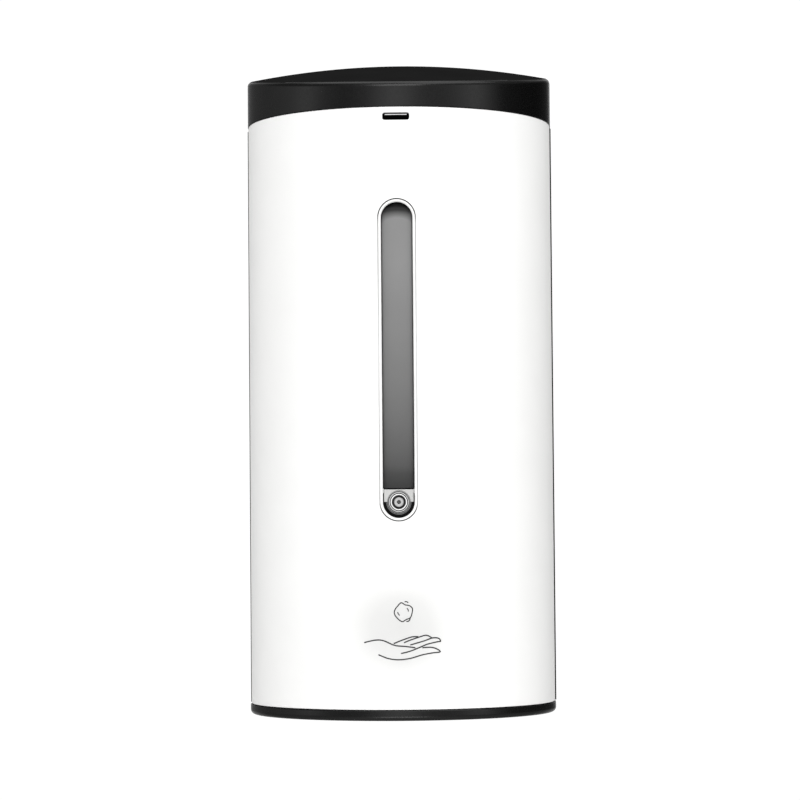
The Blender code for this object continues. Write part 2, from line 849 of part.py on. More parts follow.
def build_hose():
    path = [(0.0, HOSE_Y, 86.6)]
    top = PUMP_Z + HOSE_LOOP_R + HOSE_BEND_R
    bottom = PUMP_Z - HOSE_LOOP_R - HOSE_BEND_R
    for k in range(6):
        angle = math.pi + math.pi / 2 * k / 5
        path.append(
            (
                PUMP_X + HOSE_BEND_R * math.cos(angle),
                HOSE_Y,
                top + HOSE_BEND_R * math.sin(angle),
            )
        )
    for k in range(1, 14):
        angle = math.pi / 2 - math.pi * k / 14
        path.append(
            (
                PUMP_X + HOSE_LOOP_R * math.cos(angle),
                HOSE_Y,
                PUMP_Z + HOSE_LOOP_R * math.sin(angle),
            )
        )
    for k in range(6):
        angle = math.pi / 2 + math.pi / 2 * k / 5
        path.append(
            (
                PUMP_X + HOSE_BEND_R * math.cos(angle),
                HOSE_Y,
                bottom + HOSE_BEND_R * math.sin(angle),
            )
        )
    path.append((0.0, HOSE_Y, 14.4))
    finish("soap_hose", swept_mesh(path, HOSE_R, 8, HOSE_BORE), "silicone")


def build_nozzle():
    profile = [
        (2.9, 1.2),
        (5.6, 1.2),
        (5.6, 4.4),
        (8.0, 4.4),
        (8.0, 6.4),
        (4.2, 6.4),
        (4.0, 13.8),
        (1.2, 14.1),
        (1.2, 20.0),
        (0.8, 20.0),
        (0.8, 8.6),
        (2.9, 8.6),
    ]
    center = (0, HOSE_Y, 0)
    finish("nozzle", turned_mesh(center, "Z", profile, 18, hollow=True), "frame_white")
    valve = [(0.5, 2.0), (1.2, 2.0), (2.5, 5.4), (2.5, 8.2), (0.5, 8.2)]
    finish(
        "nozzle_valve", turned_mesh(center, "Z", valve, 14, hollow=True), "silicone"
    )


def build_motor():
    center = (PUMP_X, 0, PUMP_Z)
    shaft_hole = [(0.0, -60.0), (2.5, -60.0), (2.5, -69.2)]
    can = [(12.0, -69.2), (12.5, -68.7), (12.5, -57.7), (12.0, -57.2), (0.0, -57.2)]
    finish(
        "gearbox",
        turned_mesh(center, "Y", shaft_hole + can, 24),
        "pump_grey",
    )
    finish(
        "motor",
        turned_mesh(
            center,
            "Y",
            [
                (9.4, -56.9),
                (10.0, -56.3),
                (10.0, -37.0),
                (9.4, -36.4),
                (3.0, -36.4),
                (3.0, -35.0),
            ],
            24,
        ),
        "steel",
    )


# ---------------------------------------------------------------- electrics


def build_electrics():
    box = finish(
        "battery_box",
        box_mesh((-34.6, 34.6), (-29.3, -8.6), (COVER_BOTTOM, 62.0)),
        "black_matte",
    )
    cut(box, box_mesh((-33.0, 33.0), (-27.8, -10.1), (0.0, 60.4)))
    for k, x in enumerate(CELL_X):
        top = CELL_Z[1]
        profile = [
            (CELL_R - 0.6, CELL_Z[0]),
            (CELL_R, CELL_Z[0] + 0.6),
            (CELL_R, top - 2.0),
            (CELL_R - 0.7, top - 1.3),
            (2.7, top - 1.3),
            (2.7, top),
        ]
        finish(
            f"battery_{k + 1}",
            turned_mesh((x, CELL_Y, 0), "Z", profile, 16),
            "cell_wrap",
        )
    for name, x in (("contact_left", -15.6), ("contact_right", 15.6)):
        finish(
            name,
            box_mesh((x - 13.0, x + 13.0), (-23.0, -15.0), (57.5, 58.2)),
            "steel",
        )
    door = finish(
        "battery_door",
        box_mesh((-32.6, 32.6), (-28.2, -11.2), (0.4, 2.8)),
        "black_gloss",
        pivot=(0, -11.2, 1.6),
    )
    add(
        door,
        cylinder_mesh((0, -11.2, 1.6), "X", 1.2, (-32.6, 32.6), 12),
        cylinder_mesh((0, -11.2, 1.6), "X", 0.7, (-34.4, 34.4), 10),
    )
    finish(
        "door_contact",
        box_mesh((-13.0, 13.0), (-23.0, -15.0), (3.1, 4.2)),
        "steel",
        pivot=(0, -11.2, 1.6),
    )
    finish(
        "control_board",
        box_mesh((-40.0, -38.4), (-72.0, -36.0), (24.0, 86.6)),
        "board_green",
    )
    finish(
        "controller_chip",
        box_mesh((-38.1, -36.3), (-60.0, -48.0), (46.0, 58.0)),
        "black_matte",
    )
    window = finish(
        "sensor_window",
        box_mesh((-16.5, 16.5), (-67.5, -54.5), (4.4, 5.6)),
        "sensor_dark",
    )
    add(window, box_mesh((-14.6, 14.6), (-65.6, -56.4), (0.5, 5.0)))
    for name, x in (("ir_emitter", -7.0), ("ir_receiver", 7.0)):
        profile = [(0.8, 6.0), (1.9, 6.5), (2.5, 7.8), (2.5, 12.0)]
        finish(
            name,
            turned_mesh((x, -61.0, 0), "Z", profile, 16),
            "lamp_clear" if x < 0 else "sensor_dark",
        )
    finish(
        "sensor_board",
        box_mesh((-15.0, 15.0), (-67.0, -55.0), (12.3, 13.9)),
        "board_green",
    )
    switch = finish(
        "power_switch",
        box_mesh((32.0, 44.0), (-49.0, -41.0), (4.4, 11.0)),
        "black_matte",
    )
    cut(switch, box_mesh((33.5, 42.5), (-47.0, -43.0), (4.0, 7.0)))
    finish(
        "switch_slider",
        box_mesh((33.8, 37.4), (-46.6, -43.4), (0.7, 6.6)),
        "roller_white",
        pivot=(35.6, -45.0, 3.6),
    )


def build_screws():
    for k, (x, y) in enumerate(POSTS):
        finish(
            f"base_screw_{k + 1}",
            screw_mesh((x, y, 0.3), "Z", 2.6, 1.4, 1.05, 15.0, 1),
            "steel",
        )
    for k, (x, y) in enumerate(COVER_BOSSES):
        finish(
            f"cover_screw_{k + 1}",
            screw_mesh((x, y, 0.3), "Z", 2.6, 1.4, 1.05, 14.0, 1),
            "steel",
        )
    for k, x in enumerate((-50.0, 50.0)):
        finish(
            f"frame_screw_{k + 1}",
            screw_mesh((x, -16.6, 100.0), "Y", 2.6, 1.6, 1.0, 9.0, 1),
            "steel",
        )


build_wall_plate()
build_rear_housing()
build_hinge_pins()
build_front_cover()
build_base_plate()
build_top_lid()
build_lid_seal()
build_tank()
build_tank_outlet()
build_inner_frame()
build_status_light()
build_top_deck()
build_latch()
build_latch_spring()
build_pump()
build_hose()
build_nozzle()
build_motor()
build_electrics()
build_screws()

for obj in bpy.data.objects:
    obj.location.z -= MOUNT_HEIGHT * MM
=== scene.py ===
"""Wall mounted automatic soap dispenser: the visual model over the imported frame."""

import math

import bmesh
import bpy
from mathutils import Matrix, Vector


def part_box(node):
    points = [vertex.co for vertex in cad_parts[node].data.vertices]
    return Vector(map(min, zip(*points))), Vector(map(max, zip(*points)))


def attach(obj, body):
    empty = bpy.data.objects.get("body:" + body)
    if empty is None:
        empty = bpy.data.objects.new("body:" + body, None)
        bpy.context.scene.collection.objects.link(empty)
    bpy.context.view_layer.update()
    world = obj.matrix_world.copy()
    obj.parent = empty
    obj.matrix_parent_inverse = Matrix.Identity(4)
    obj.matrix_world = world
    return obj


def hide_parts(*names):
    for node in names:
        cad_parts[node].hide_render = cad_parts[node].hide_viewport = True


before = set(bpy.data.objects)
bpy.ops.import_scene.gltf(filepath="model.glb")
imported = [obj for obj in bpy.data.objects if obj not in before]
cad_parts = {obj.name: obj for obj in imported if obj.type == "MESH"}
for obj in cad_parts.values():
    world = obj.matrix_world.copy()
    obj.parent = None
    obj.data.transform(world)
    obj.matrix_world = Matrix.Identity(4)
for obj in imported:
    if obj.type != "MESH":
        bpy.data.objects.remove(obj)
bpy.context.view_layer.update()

MM = 0.001

# ---------------------------------------------------------------- sizes from the frame

COVER_LO, COVER_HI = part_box("front_cover")
BASE_LO, BASE_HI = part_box("base_plate")
LID_LO, LID_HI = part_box("top_lid")
TANK_LO, TANK_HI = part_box("soap_tank")
SEAL_LO, SEAL_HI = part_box("lid_seal")
BEZEL_LO, BEZEL_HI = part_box("light_bezel")

FLOOR_Z = BASE_LO.z / MM  # underside of the base; heights below count from it
HALF = (COVER_HI.x - COVER_LO.x) / 2 / MM
APEX_Y = COVER_LO.y / MM
WIDEST_Y = -42.0  # the plan is straight behind this depth and half an ellipse before it
BOW = WIDEST_Y - APEX_Y
COVER_REAR = -30.3
COVER_WALL = 2.2
COVER_Z = ((COVER_LO.z - BASE_LO.z) / MM, (COVER_HI.z - BASE_LO.z) / MM)

LID_A = (LID_HI.x - LID_LO.x) / 2 / MM
LID_B = WIDEST_Y - LID_LO.y / MM
LID_REAR = -5.6
LID_FILLET = 1.8
LID_WALL = 2.3
LID_LOW = 240.4
HINGE = (0.0, -10.0, 265.7)
# the lid's top: height at its front edge, rise and sag to the back, fall to the sides
VAULT_FRONT = 249.9
VAULT_RISE = 0.32
VAULT_SAG = 0.0012
VAULT_FALL = 6.0

# window: half width and half height of the opening, and of the parting line round it
WINDOW_Z = 140.9
WINDOW_IN = (6.2, 61.95)
WINDOW_OUT = (7.15, 62.85)
GROOVE = 0.45
GROOVE_DEPTH = 0.7
SLOT_Z = 236.3
LAMP_Z = (BEZEL_LO.z + BEZEL_HI.z) / 2 / MM - FLOOR_Z
MOUTH_Y = (SEAL_LO.y + SEAL_HI.y) / 2 / MM
TANK_FRONT = -103.5  # the tank without its sight rib
NOZZLE_Y = -79.5
BOSS_X = 30.0
BOSS_Y = -96.0
# centre of the painted shadow's arch at the window's top, and how much wider than tall
# it is
ARCH_Z = 193.3
ARCH_SQUEEZE = 0.55
RIM_HALF = 62.74
RIM_FRONT = -39.0


# ---------------------------------------------------------------- mesh tools
# everything below is in millimetres, with heights from the base's underside


def loft(rings, wrap=False, caps=True):
    """Joins rings of equal count, capped at both ends or wrapped round to the first."""
    bm = bmesh.new()
    rows = [[bm.verts.new(p) for p in ring] for ring in rings]
    pairs = list(zip(rows, rows[1:]))
    if wrap:
        pairs.append((rows[-1], rows[0]))
    for low, high in pairs:
        count = len(low)
        for i in range(count):
            j = (i + 1) % count
            bm.faces.new((low[i], low[j], high[j], high[i]))
    if not wrap and caps:
        bm.faces.new(rows[0])
        bm.faces.new(rows[-1])
    return bm


def to_object(name, bm, sharp=32.0):
    """Puts a mesh in the scene, in metres, with edges sharper than an angle kept."""
    bmesh.ops.remove_doubles(bm, verts=bm.verts, dist=1e-4)
    bmesh.ops.recalc_face_normals(bm, faces=bm.faces)
    shift = Matrix.Translation((0, 0, FLOOR_Z * MM)) @ Matrix.Scale(MM, 4)
    bmesh.ops.transform(bm, matrix=shift, verts=bm.verts)
    mesh = bpy.data.meshes.new(name)
    bm.to_mesh(mesh)
    bm.free()
    obj = bpy.data.objects.new(name, mesh)
    bpy.context.scene.collection.objects.link(obj)
    mesh.shade_smooth()
    mesh.set_sharp_from_angle(angle=math.radians(sharp))
    return obj


def combine(obj, tool_mesh, operation="DIFFERENCE", sharp=32.0):
    tool = tool_mesh
    if isinstance(tool_mesh, bmesh.types.BMesh):
        tool = to_object("tool", tool_mesh)
    modifier = obj.modifiers.new("tool", "BOOLEAN")
    modifier.operation = operation
    modifier.solver = "EXACT"
    modifier.object = tool
    graph = bpy.context.evaluated_depsgraph_get()
    mesh = bpy.data.meshes.new_from_object(obj.evaluated_get(graph))
    obj.modifiers.remove(modifier)
    bpy.data.objects.remove(tool)
    obj.data = mesh
    mesh.shade_smooth()
    mesh.set_sharp_from_angle(angle=math.radians(sharp))
    return obj


def cut(obj, *tools):
    for tool in tools:
        combine(obj, tool, "DIFFERENCE")
    return obj


def add(obj, *tools):
    for tool in tools:
        combine(obj, tool, "UNION")
    return obj


def weighted(obj):
    """Broad faces decide the shading, so trimmed edges don't bend it."""
    modifier = obj.modifiers.new("broad_faces", "WEIGHTED_NORMAL")
    modifier.keep_sharp = True
    modifier.weight = 100
    return obj


def bevelled(obj, width=0.25, segments=2, angle=38.0):
    modifier = obj.modifiers.new("edge", "BEVEL")
    modifier.width = width * MM
    modifier.segments = segments
    modifier.limit_method = "ANGLE"
    modifier.angle_limit = math.radians(angle)
    modifier.harden_normals = False
    modifier.use_clamp_overlap = True
    return obj


def box_mesh(x, y, z):
    ring = [(x[0], y[0]), (x[1], y[0]), (x[1], y[1]), (x[0], y[1])]
    return loft([[(px, py, h) for px, py in ring] for h in z])


def turned_point(center, axis, r, along, angle):
    c = r * math.cos(angle)
    s = r * math.sin(angle)
    x, y, z = center
    if axis == "X":
        return (x + along, y + c, z + s)
    if axis == "Y":
        return (x + c, y + along, z + s)
    return (x + c, y + s, z + along)


def turned_mesh(center, axis, profile, count=64, hollow=False):
    """Turns a (radius, distance along the axis) profile."""
    rings = []
    for r, along in profile:
        r = max(r, 1e-3)
        rings.append(
            [
                turned_point(center, axis, r, along, 2 * math.pi * k / count)
                for k in range(count)
            ]
        )
    return loft(rings, wrap=hollow)


def cylinder_mesh(center, axis, r, span, count=48):
    return turned_mesh(center, axis, [(r, span[0]), (r, span[1])], count)


def tube_mesh(center, axis, r, bore, span, count=64):
    profile = [(r, span[0]), (r, span[1]), (bore, span[1]), (bore, span[0])]
    return turned_mesh(center, axis, profile, count, hollow=True)


def plan(a, b, rear, arc=160, side=1):
    """Plan outline: half an ellipse in front, straight sides back to the rear."""
    right = [(a, rear + (WIDEST_Y - rear) * i / side) for i in range(side)]
    bow = []
    for k in range(arc + 1):
        angle = math.pi * k / arc
        bow.append((a * math.cos(angle), WIDEST_Y - b * math.sin(angle)))
    left = [(-px, py) for px, py in reversed(right)]
    return right + bow + left


def skin_y(x):
    """Depth of the bowed front surface at a distance from the middle."""
    return WIDEST_Y - BOW * math.sqrt(max(0.0, 1 - (x / HALF) ** 2))


def vault(x, y):
    """Height of the lid's top over a place in plan."""
    back = y - APEX_Y
    side = x / HALF
    return (
        VAULT_FRONT
        + VAULT_RISE * back
        - VAULT_SAG * back * back
        - VAULT_FALL * side * side
    )


def stadium(half_w, half_h, count=24):
    points = []
    for k in range(count + 1):
        angle = math.pi * k / count
        points.append(
            (half_w * math.cos(angle), half_h - half_w + half_w * math.sin(angle))
        )
    for k in range(count + 1):
        angle = math.pi + math.pi * k / count
        points.append(
            (half_w * math.cos(angle), half_w - half_h + half_w * math.sin(angle))
        )
    return points


def rounded_rect(half_w, half_h, r, count=6):
    points = []
    for corner in range(4):
        cx = (half_w - r) * (1 if corner in (0, 3) else -1)
        cz = (half_h - r) * (1 if corner in (0, 1) else -1)
        for k in range(count + 1):
            angle = math.pi / 2 * (corner + k / count)
            points.append((cx + r * math.cos(angle), cz + r * math.sin(angle)))
    return points


def on_skin(steps, center_z, wrap=False):
    """Lofts (depth under the bowed skin, outline) steps, each following the bow."""
    rings = []
    for depth, outline in steps:
        rings.append([(px, skin_y(px) + depth, center_z + pz) for px, pz in outline])
    return loft(rings, wrap=wrap)


def flat_on(steps, center_z):
    """Lofts (depth, outline) steps that stand upright, facing the front."""
    return loft([[(px, y, center_z + pz) for px, pz in line] for y, line in steps])


# ---------------------------------------------------------------- materials


def base_material(name, color, roughness, specular=0.5, metallic=0.0):
    mat = bpy.data.materials.new(name)
    mat.use_nodes = True
    shader = mat.node_tree.nodes["Principled BSDF"]
    shader.inputs["Base Color"].default_value = (*color, 1.0)
    shader.inputs["Roughness"].default_value = roughness
    shader.inputs["Metallic"].default_value = metallic
    shader.inputs["Specular IOR Level"].default_value = specular
    return mat, mat.node_tree, shader


def surface(
    name,
    color,
    roughness,
    specular=0.5,
    metallic=0.0,
    tone=0.04,
    grain=900.0,
    relief=0.02,
    alpha=1.0,
    coat=0.0,
    stretch=(1.0, 1.0, 1.0),
    edge_tint=1.0,
):
    """Moulded or rolled surface: cloudy tone, uneven gloss, a fine grain in relief."""
    mat, tree, shader = base_material(name, color, roughness, specular, metallic)
    nodes = tree.nodes
    links = tree.links
    coords = nodes.new("ShaderNodeTexCoord")
    mapping = nodes.new("ShaderNodeMapping")
    mapping.inputs["Scale"].default_value = stretch
    links.new(coords.outputs["Object"], mapping.inputs["Vector"])

    cloud = nodes.new("ShaderNodeTexNoise")
    cloud.inputs["Scale"].default_value = 45.0
    cloud.inputs["Detail"].default_value = 4.0
    links.new(mapping.outputs["Vector"], cloud.inputs["Vector"])
    fine = nodes.new("ShaderNodeTexNoise")
    fine.inputs["Scale"].default_value = grain
    fine.inputs["Detail"].default_value = 3.0
    links.new(mapping.outputs["Vector"], fine.inputs["Vector"])

    ramp = nodes.new("ShaderNodeValToRGB")
    low = [max(0.0, c * (1 - tone)) for c in color]
    high = [min(1.0, c * (1 + tone)) for c in color]
    ramp.color_ramp.elements[0].position = 0.3
    ramp.color_ramp.elements[0].color = (*low, 1.0)
    ramp.color_ramp.elements[1].position = 0.7
    ramp.color_ramp.elements[1].color = (*high, 1.0)
    links.new(cloud.outputs["Fac"], ramp.inputs["Fac"])
    links.new(ramp.outputs["Color"], shader.inputs["Base Color"])

    gloss = nodes.new("ShaderNodeMapRange")
    gloss.inputs["From Min"].default_value = 0.3
    gloss.inputs["From Max"].default_value = 0.7
    gloss.inputs["To Min"].default_value = max(0.02, roughness - 0.04)
    gloss.inputs["To Max"].default_value = min(1.0, roughness + 0.05)
    links.new(fine.outputs["Fac"], gloss.inputs["Value"])
    links.new(gloss.outputs["Result"], shader.inputs["Roughness"])

    bump = nodes.new("ShaderNodeBump")
    bump.inputs["Strength"].default_value = relief
    bump.inputs["Distance"].default_value = 0.0002
    links.new(fine.outputs["Fac"], bump.inputs["Height"])
    links.new(bump.outputs["Normal"], shader.inputs["Normal"])
    shader.inputs["Alpha"].default_value = alpha
    shader.inputs["Coat Weight"].default_value = coat
    shader.inputs["Specular Tint"].default_value = (*[edge_tint] * 3, 1.0)
    return mat


def fill_ramp(ramp, stops):
    """Gives a colour ramp its (position, grey) stops."""
    while len(ramp.color_ramp.elements) < len(stops):
        ramp.color_ramp.elements.new(0.5)
    for element, (position, value) in zip(ramp.color_ramp.elements, stops):
        element.position = position
        element.color = (value, value, value, 1.0)


def multiply_in(mat, factor):
    """Multiplies a material's tone by another colour."""
    nodes = mat.node_tree.nodes
    links = mat.node_tree.links
    shader = nodes["Principled BSDF"]
    old = shader.inputs["Base Color"].links[0].from_socket
    mix = nodes.new("ShaderNodeMix")
    mix.data_type = "RGBA"
    mix.blend_type = "MULTIPLY"
    mix.inputs["Factor"].default_value = 1.0
    links.new(factor, mix.inputs["A"])
    links.new(old, mix.inputs["B"])
    links.new(mix.outputs["Result"], shader.inputs["Base Color"])


def object_place(tree):
    """Where a point of the surface lies in its object, in metres."""
    coords = tree.nodes.new("ShaderNodeTexCoord")
    split = tree.nodes.new("ShaderNodeSeparateXYZ")
    tree.links.new(coords.outputs["Object"], split.inputs["Vector"])
    return split


def worked(tree, operation, first, second):
    """A sum of one value with another, which is a number or comes from a node."""
    node = tree.nodes.new("ShaderNodeMath")
    node.operation = operation
    tree.links.new(first, node.inputs[0])
    if isinstance(second, float):
        node.inputs[1].default_value = second
    else:
        tree.links.new(second, node.inputs[1])
    return node.outputs["Value"]


def length_of(tree, vector):
    node = tree.nodes.new("ShaderNodeVectorMath")
    node.operation = "LENGTH"
    tree.links.new(vector, node.inputs[0])
    return node.outputs["Value"]


def share(tree, value, low, high):
    """A value as its share of the way from one level to another."""
    node = tree.nodes.new("ShaderNodeMapRange")
    node.inputs["From Min"].default_value = low
    node.inputs["From Max"].default_value = high
    tree.links.new(value, node.inputs["Value"])
    return node.outputs["Result"]


def grey_ramp(tree, value, stops):
    ramp = tree.nodes.new("ShaderNodeValToRGB")
    fill_ramp(ramp, stops)
    tree.links.new(value, ramp.inputs["Fac"])
    return ramp.outputs["Color"]


def height_ramp(mat, stops, low, high):
    """Tone that changes with height between two levels, in metres."""
    tree = mat.node_tree
    level = share(tree, object_place(tree).outputs["Z"], low, high)
    multiply_in(mat, grey_ramp(tree, level, stops))


def arch_shade(mat, center_z, stops, reach):
    """Painted shadow: darkens towards an arch above a height, wider than it is tall."""
    tree = mat.node_tree
    place = object_place(tree)
    above = worked(tree, "SUBTRACT", place.outputs["Z"], center_z)
    join = tree.nodes.new("ShaderNodeCombineXYZ")
    tree.links.new(
        worked(tree, "MULTIPLY", place.outputs["X"], ARCH_SQUEEZE), join.inputs["X"]
    )
    tree.links.new(worked(tree, "MAXIMUM", above, 0.0), join.inputs["Z"])
    level = share(tree, length_of(tree, join.outputs["Vector"]), 0.0, reach)
    multiply_in(mat, grey_ramp(tree, level, stops))


def ringed(mat, center_z, stops, reach, center_x=0.0, over=False):
    """Tone that changes with distance from an axis along Y, up to a reach."""
    tree = mat.node_tree
    coords = tree.nodes.new("ShaderNodeTexCoord")
    shift = tree.nodes.new("ShaderNodeMapping")
    shift.inputs["Location"].default_value = (-center_x, 0.0, -center_z)
    shift.inputs["Scale"].default_value = (1.0, 0.0, 1.0)
    tree.links.new(coords.outputs["Object"], shift.inputs["Vector"])
    level = share(tree, length_of(tree, shift.outputs["Vector"]), 0.0, reach)
    tone = grey_ramp(tree, level, stops)
    if over:
        multiply_in(mat, tone)
    else:
        shader = tree.nodes["Principled BSDF"]
        tree.links.new(tone, shader.inputs["Base Color"])


WHITE = surface("cover_white", (0.61, 0.61, 0.605), 0.45, 0.1, tone=0.012, relief=0.02)
BLACK = surface(
    "shell_black",
    (0.0155, 0.0155, 0.0155),
    0.26,
    0.5,
    0.94,
    tone=0.06,
    relief=0.01,
    edge_tint=0.5,
)
TOP = surface("lid_top_black", (0.0062, 0.0062, 0.0062), 0.8, 0.0, tone=0.1, relief=0.1)
CASE = surface("case_black", (0.006, 0.006, 0.006), 0.7, 0.0, tone=0.15, relief=0.15)
MATTE = surface("matt_black", (0.012, 0.012, 0.012), 0.6, 0.15, tone=0.15, relief=0.25)
SOCKET = surface("socket_black", (0.002, 0.002, 0.002), 0.6, 0.05, tone=0.15)
TANK = surface("tank_grey", (0.5, 0.5, 0.5), 0.45, 0.08, tone=0.03, relief=0.005)
SHELL = surface("tank_shell", (0.16, 0.16, 0.165), 0.4, 0.3, tone=0.04, relief=0.05)
PALE = surface("frame_white", (0.72, 0.72, 0.70), 0.5, 0.4, tone=0.03, relief=0.1)
RUBBER = surface("seal_rubber", (0.04, 0.04, 0.04), 0.8, 0.3, tone=0.2, relief=0.4)
SILICONE = surface(
    "silicone", (0.72, 0.73, 0.71), 0.45, 0.5, tone=0.05, relief=0.1, alpha=0.85
)
STEEL = surface(
    "steel",
    (0.62, 0.62, 0.60),
    0.28,
    0.5,
    1.0,
    tone=0.06,
    grain=1500.0,
    relief=0.15,
    stretch=(1.0, 1.0, 0.15),
)
PUMP = surface("pump_grey", (0.30, 0.31, 0.33), 0.5, 0.4, tone=0.06, relief=0.2)
ROLLER = surface("roller_white", (0.72, 0.72, 0.68), 0.4, 0.5, tone=0.04, relief=0.1)
BOARD = surface("board_green", (0.02, 0.12, 0.05), 0.4, 0.5, tone=0.25, relief=0.2)
LAMP = surface("lamp_clear", (0.80, 0.80, 0.78), 0.12, 0.6, tone=0.03, coat=0.5)
SENSOR = surface("sensor_dark", (0.02, 0.006, 0.01), 0.1, 0.6, tone=0.3, coat=0.4)
CELL = surface("cell_wrap", (0.05, 0.11, 0.22), 0.3, 0.5, tone=0.08, coat=0.3)
INK = surface("icon_ink", (0.035, 0.035, 0.035), 0.6, 0.05, tone=0.1, relief=0.1)
LATCH = surface("latch_black", (0.0008, 0.0008, 0.0008), 0.6, 0.0, tone=0.2)
# painted highlight for the light socket's lip
SOCKET_LIP_HIGHLIGHT = surface("socket_lip_painted_highlight", (0.16, 0.16, 0.16), 0.4, 0.2, tone=0.1)
# painted highlight on the latch's upper edge
LATCH_HIGHLIGHT = surface("latch_painted_highlight", (0.42, 0.42, 0.42), 0.4, 0.2, tone=0.1)
SEAT = surface("seat_grey", (0.36, 0.36, 0.355), 0.5, 0.2, tone=0.04, relief=0.1)
GROOVE_SHADOW_PAINT = surface("groove_painted_shadow", (0.6, 0.6, 0.6), 0.6, 0.0, tone=0.02)

# a faint painted shade round the icon, darkest at its middle
ringed(
    WHITE,
    (36.0 + FLOOR_Z) * MM,
    [(0.0, 0.73), (0.45, 0.78), (1.0, 1.0)],
    26.0 * MM,
    center_x=0.5 * MM,
    over=True,
)
# painted shadow in the parting groove round the window, darkest round its top and
# bottom arcs, light along its sides
height_ramp(
    GROOVE_SHADOW_PAINT,
    [
        (0.0, 0.12),
        (0.03, 0.2),
        (0.055, 0.75),
        (0.5, 1.0),
        (0.925, 0.75),
        (0.955, 0.15),
        (1.0, 0.03),
    ],
    (WINDOW_Z - WINDOW_OUT[1] + FLOOR_Z) * MM,
    (WINDOW_Z + WINDOW_OUT[1] + FLOOR_Z) * MM,
)
height_ramp(
    TANK,
    [
        (0.0, 0.045),
        (0.05, 0.07),
        (0.08, 0.105),
        (0.14, 0.135),
        (0.22, 0.165),
        (0.40, 0.225),
        (0.60, 0.265),
        (0.80, 0.305),
        (1.0, 0.31),
    ],
    TANK_LO.z,
    TANK_LO.z + 0.110,
)
# painted shadow that the window's upper edge casts on the rib, darkest at the window's
# top
arch_shade(
    TANK,
    (ARCH_Z + FLOOR_Z) * MM,
    [(0.0, 1.0), (0.36, 1.0), (0.53, 0.55), (0.7, 0.12), (0.79, 0.09), (0.88, 0.0)],
    9.0 * MM,
)


def dress(obj, mat, body, slot, *nodes):
    """Gives a piece its surface and body, and hides the frame nodes it replaces; the
    slot argument is not used.
    """
    obj.data.materials.clear()
    obj.data.materials.append(mat)
    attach(obj, body)
    if nodes:
        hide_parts(*nodes)
    return obj


# ---------------------------------------------------------------- front cover


def build_cover():
    rings = []
    for inset, z in (
        (0.18, COVER_Z[0]),
        (0.05, COVER_Z[0] + 0.05),
        (0.0, COVER_Z[0] + 0.18),
        (0.0, COVER_Z[1] - 0.03),
        (0.05, COVER_Z[1] + 0.1),
        (0.18, COVER_Z[1] + 0.15),
    ):
        outer = plan(HALF - inset, BOW - inset, COVER_REAR)
        wall = COVER_WALL - inset
        inner = plan(HALF - wall, BOW - wall, COVER_REAR)[::-1]
        rings.append([(px, py, z) for px, py in outer + inner])
    cover = to_object("front_cover_shell", loft(rings))
    out_w, out_h = WINDOW_OUT
    in_w, in_h = WINDOW_IN
    # a thin parting groove, a slightly lower rim inside it, then a rounded way in
    groove = [
        (-2.0, stadium(out_w + GROOVE, out_h + GROOVE)),
        (GROOVE_DEPTH, stadium(out_w + GROOVE, out_h + GROOVE)),
        (GROOVE_DEPTH, stadium(out_w, out_h)),
        (-2.0, stadium(out_w, out_h)),
    ]
    cut(cover, on_skin(groove, WINDOW_Z, wrap=True))
    rim = 0.1
    steps = [(-3.0, stadium(out_w + 0.05, out_h + 0.05)), (rim, stadium(out_w, out_h))]
    shrink = out_w - in_w - 0.15
    for k in range(0, 7):
        phi = math.pi / 2 * k / 6
        inset = 0.15 + shrink * math.sin(phi)
        depth = rim + 0.02 + 0.9 * (1 - math.cos(phi))
        steps.append((depth, stadium(out_w - inset, out_h - inset)))
    steps.append((7.0, stadium(in_w, in_h)))
    cut(cover, on_skin(steps, WINDOW_Z))
    # the slot, eased at its edge: half width, half height, corner radius
    edge = [
        (-3.0, rounded_rect(5.5, 1.65, 1.0)),
        (-0.05, rounded_rect(5.5, 1.65, 1.0)),
        (0.15, rounded_rect(5.3, 1.47, 0.9)),
        (7.0, rounded_rect(5.2, 1.4, 0.8)),
    ]
    cut(cover, on_skin(edge, SLOT_Z + 0.15))
    # tongues that reach into the housing, a ledge under the deck, two screw bosses
    for side in (-1, 1):
        for z in (60.0, 180.0):
            root = sorted((side * 58.3, side * 61.1))
            tongue = sorted((side * 58.3, side * 60.1))
            add(
                cover,
                box_mesh(root, (-36.0, COVER_REAR - 0.01), (z, z + 24)),
                box_mesh(tongue, (-34.0, -25.0), (z, z + 24)),
            )
        ledge = sorted((side * 57.1, side * 61.1))
        add(cover, box_mesh(ledge, (-50.0, -42.0), (227.0, 230.1)))
    for x in (-BOSS_X, BOSS_X):
        add(cover, cylinder_mesh((x, BOSS_Y, 0), "Z", 3.4, (COVER_Z[0], 20.0)))
        cut(cover, cylinder_mesh((x, BOSS_Y, 0), "Z", 1.3, (3.0, 17.0)))
    weighted(cover)
    dress(cover, WHITE, "housing", "white_gloss", "front_cover")
    # the groove's faces take the painted groove shadow
    cover.data.materials.append(GROOVE_SHADOW_PAINT)
    straight = out_h - out_w
    margin = 0.02
    for face in cover.data.polygons:
        middle = face.center / MM
        off = max(0.0, abs(middle.z - FLOOR_Z - WINDOW_Z) - straight)
        reach = math.hypot(middle.x, off)
        sunk = middle.y - skin_y(middle.x)
        in_groove = out_w - margin < reach < out_w + GROOVE + margin
        if in_groove and 0.12 < sunk < 1.5:
            face.material_index = 1

    # the housing's rim, a hair outside the cover's two side edges
    for side in (-1, 1):
        x = sorted((side * (HALF + 0.12), side * RIM_HALF))
        y = (RIM_FRONT, COVER_REAR + 0.2)
        z = (COVER_Z[0], COVER_Z[1] - 0.1)
        name = f"housing_rim_{'left' if side < 0 else 'right'}"
        dress(to_object(name, box_mesh(x, y, z)), CASE, "housing", "black_matte")


# ---------------------------------------------------------------- lid


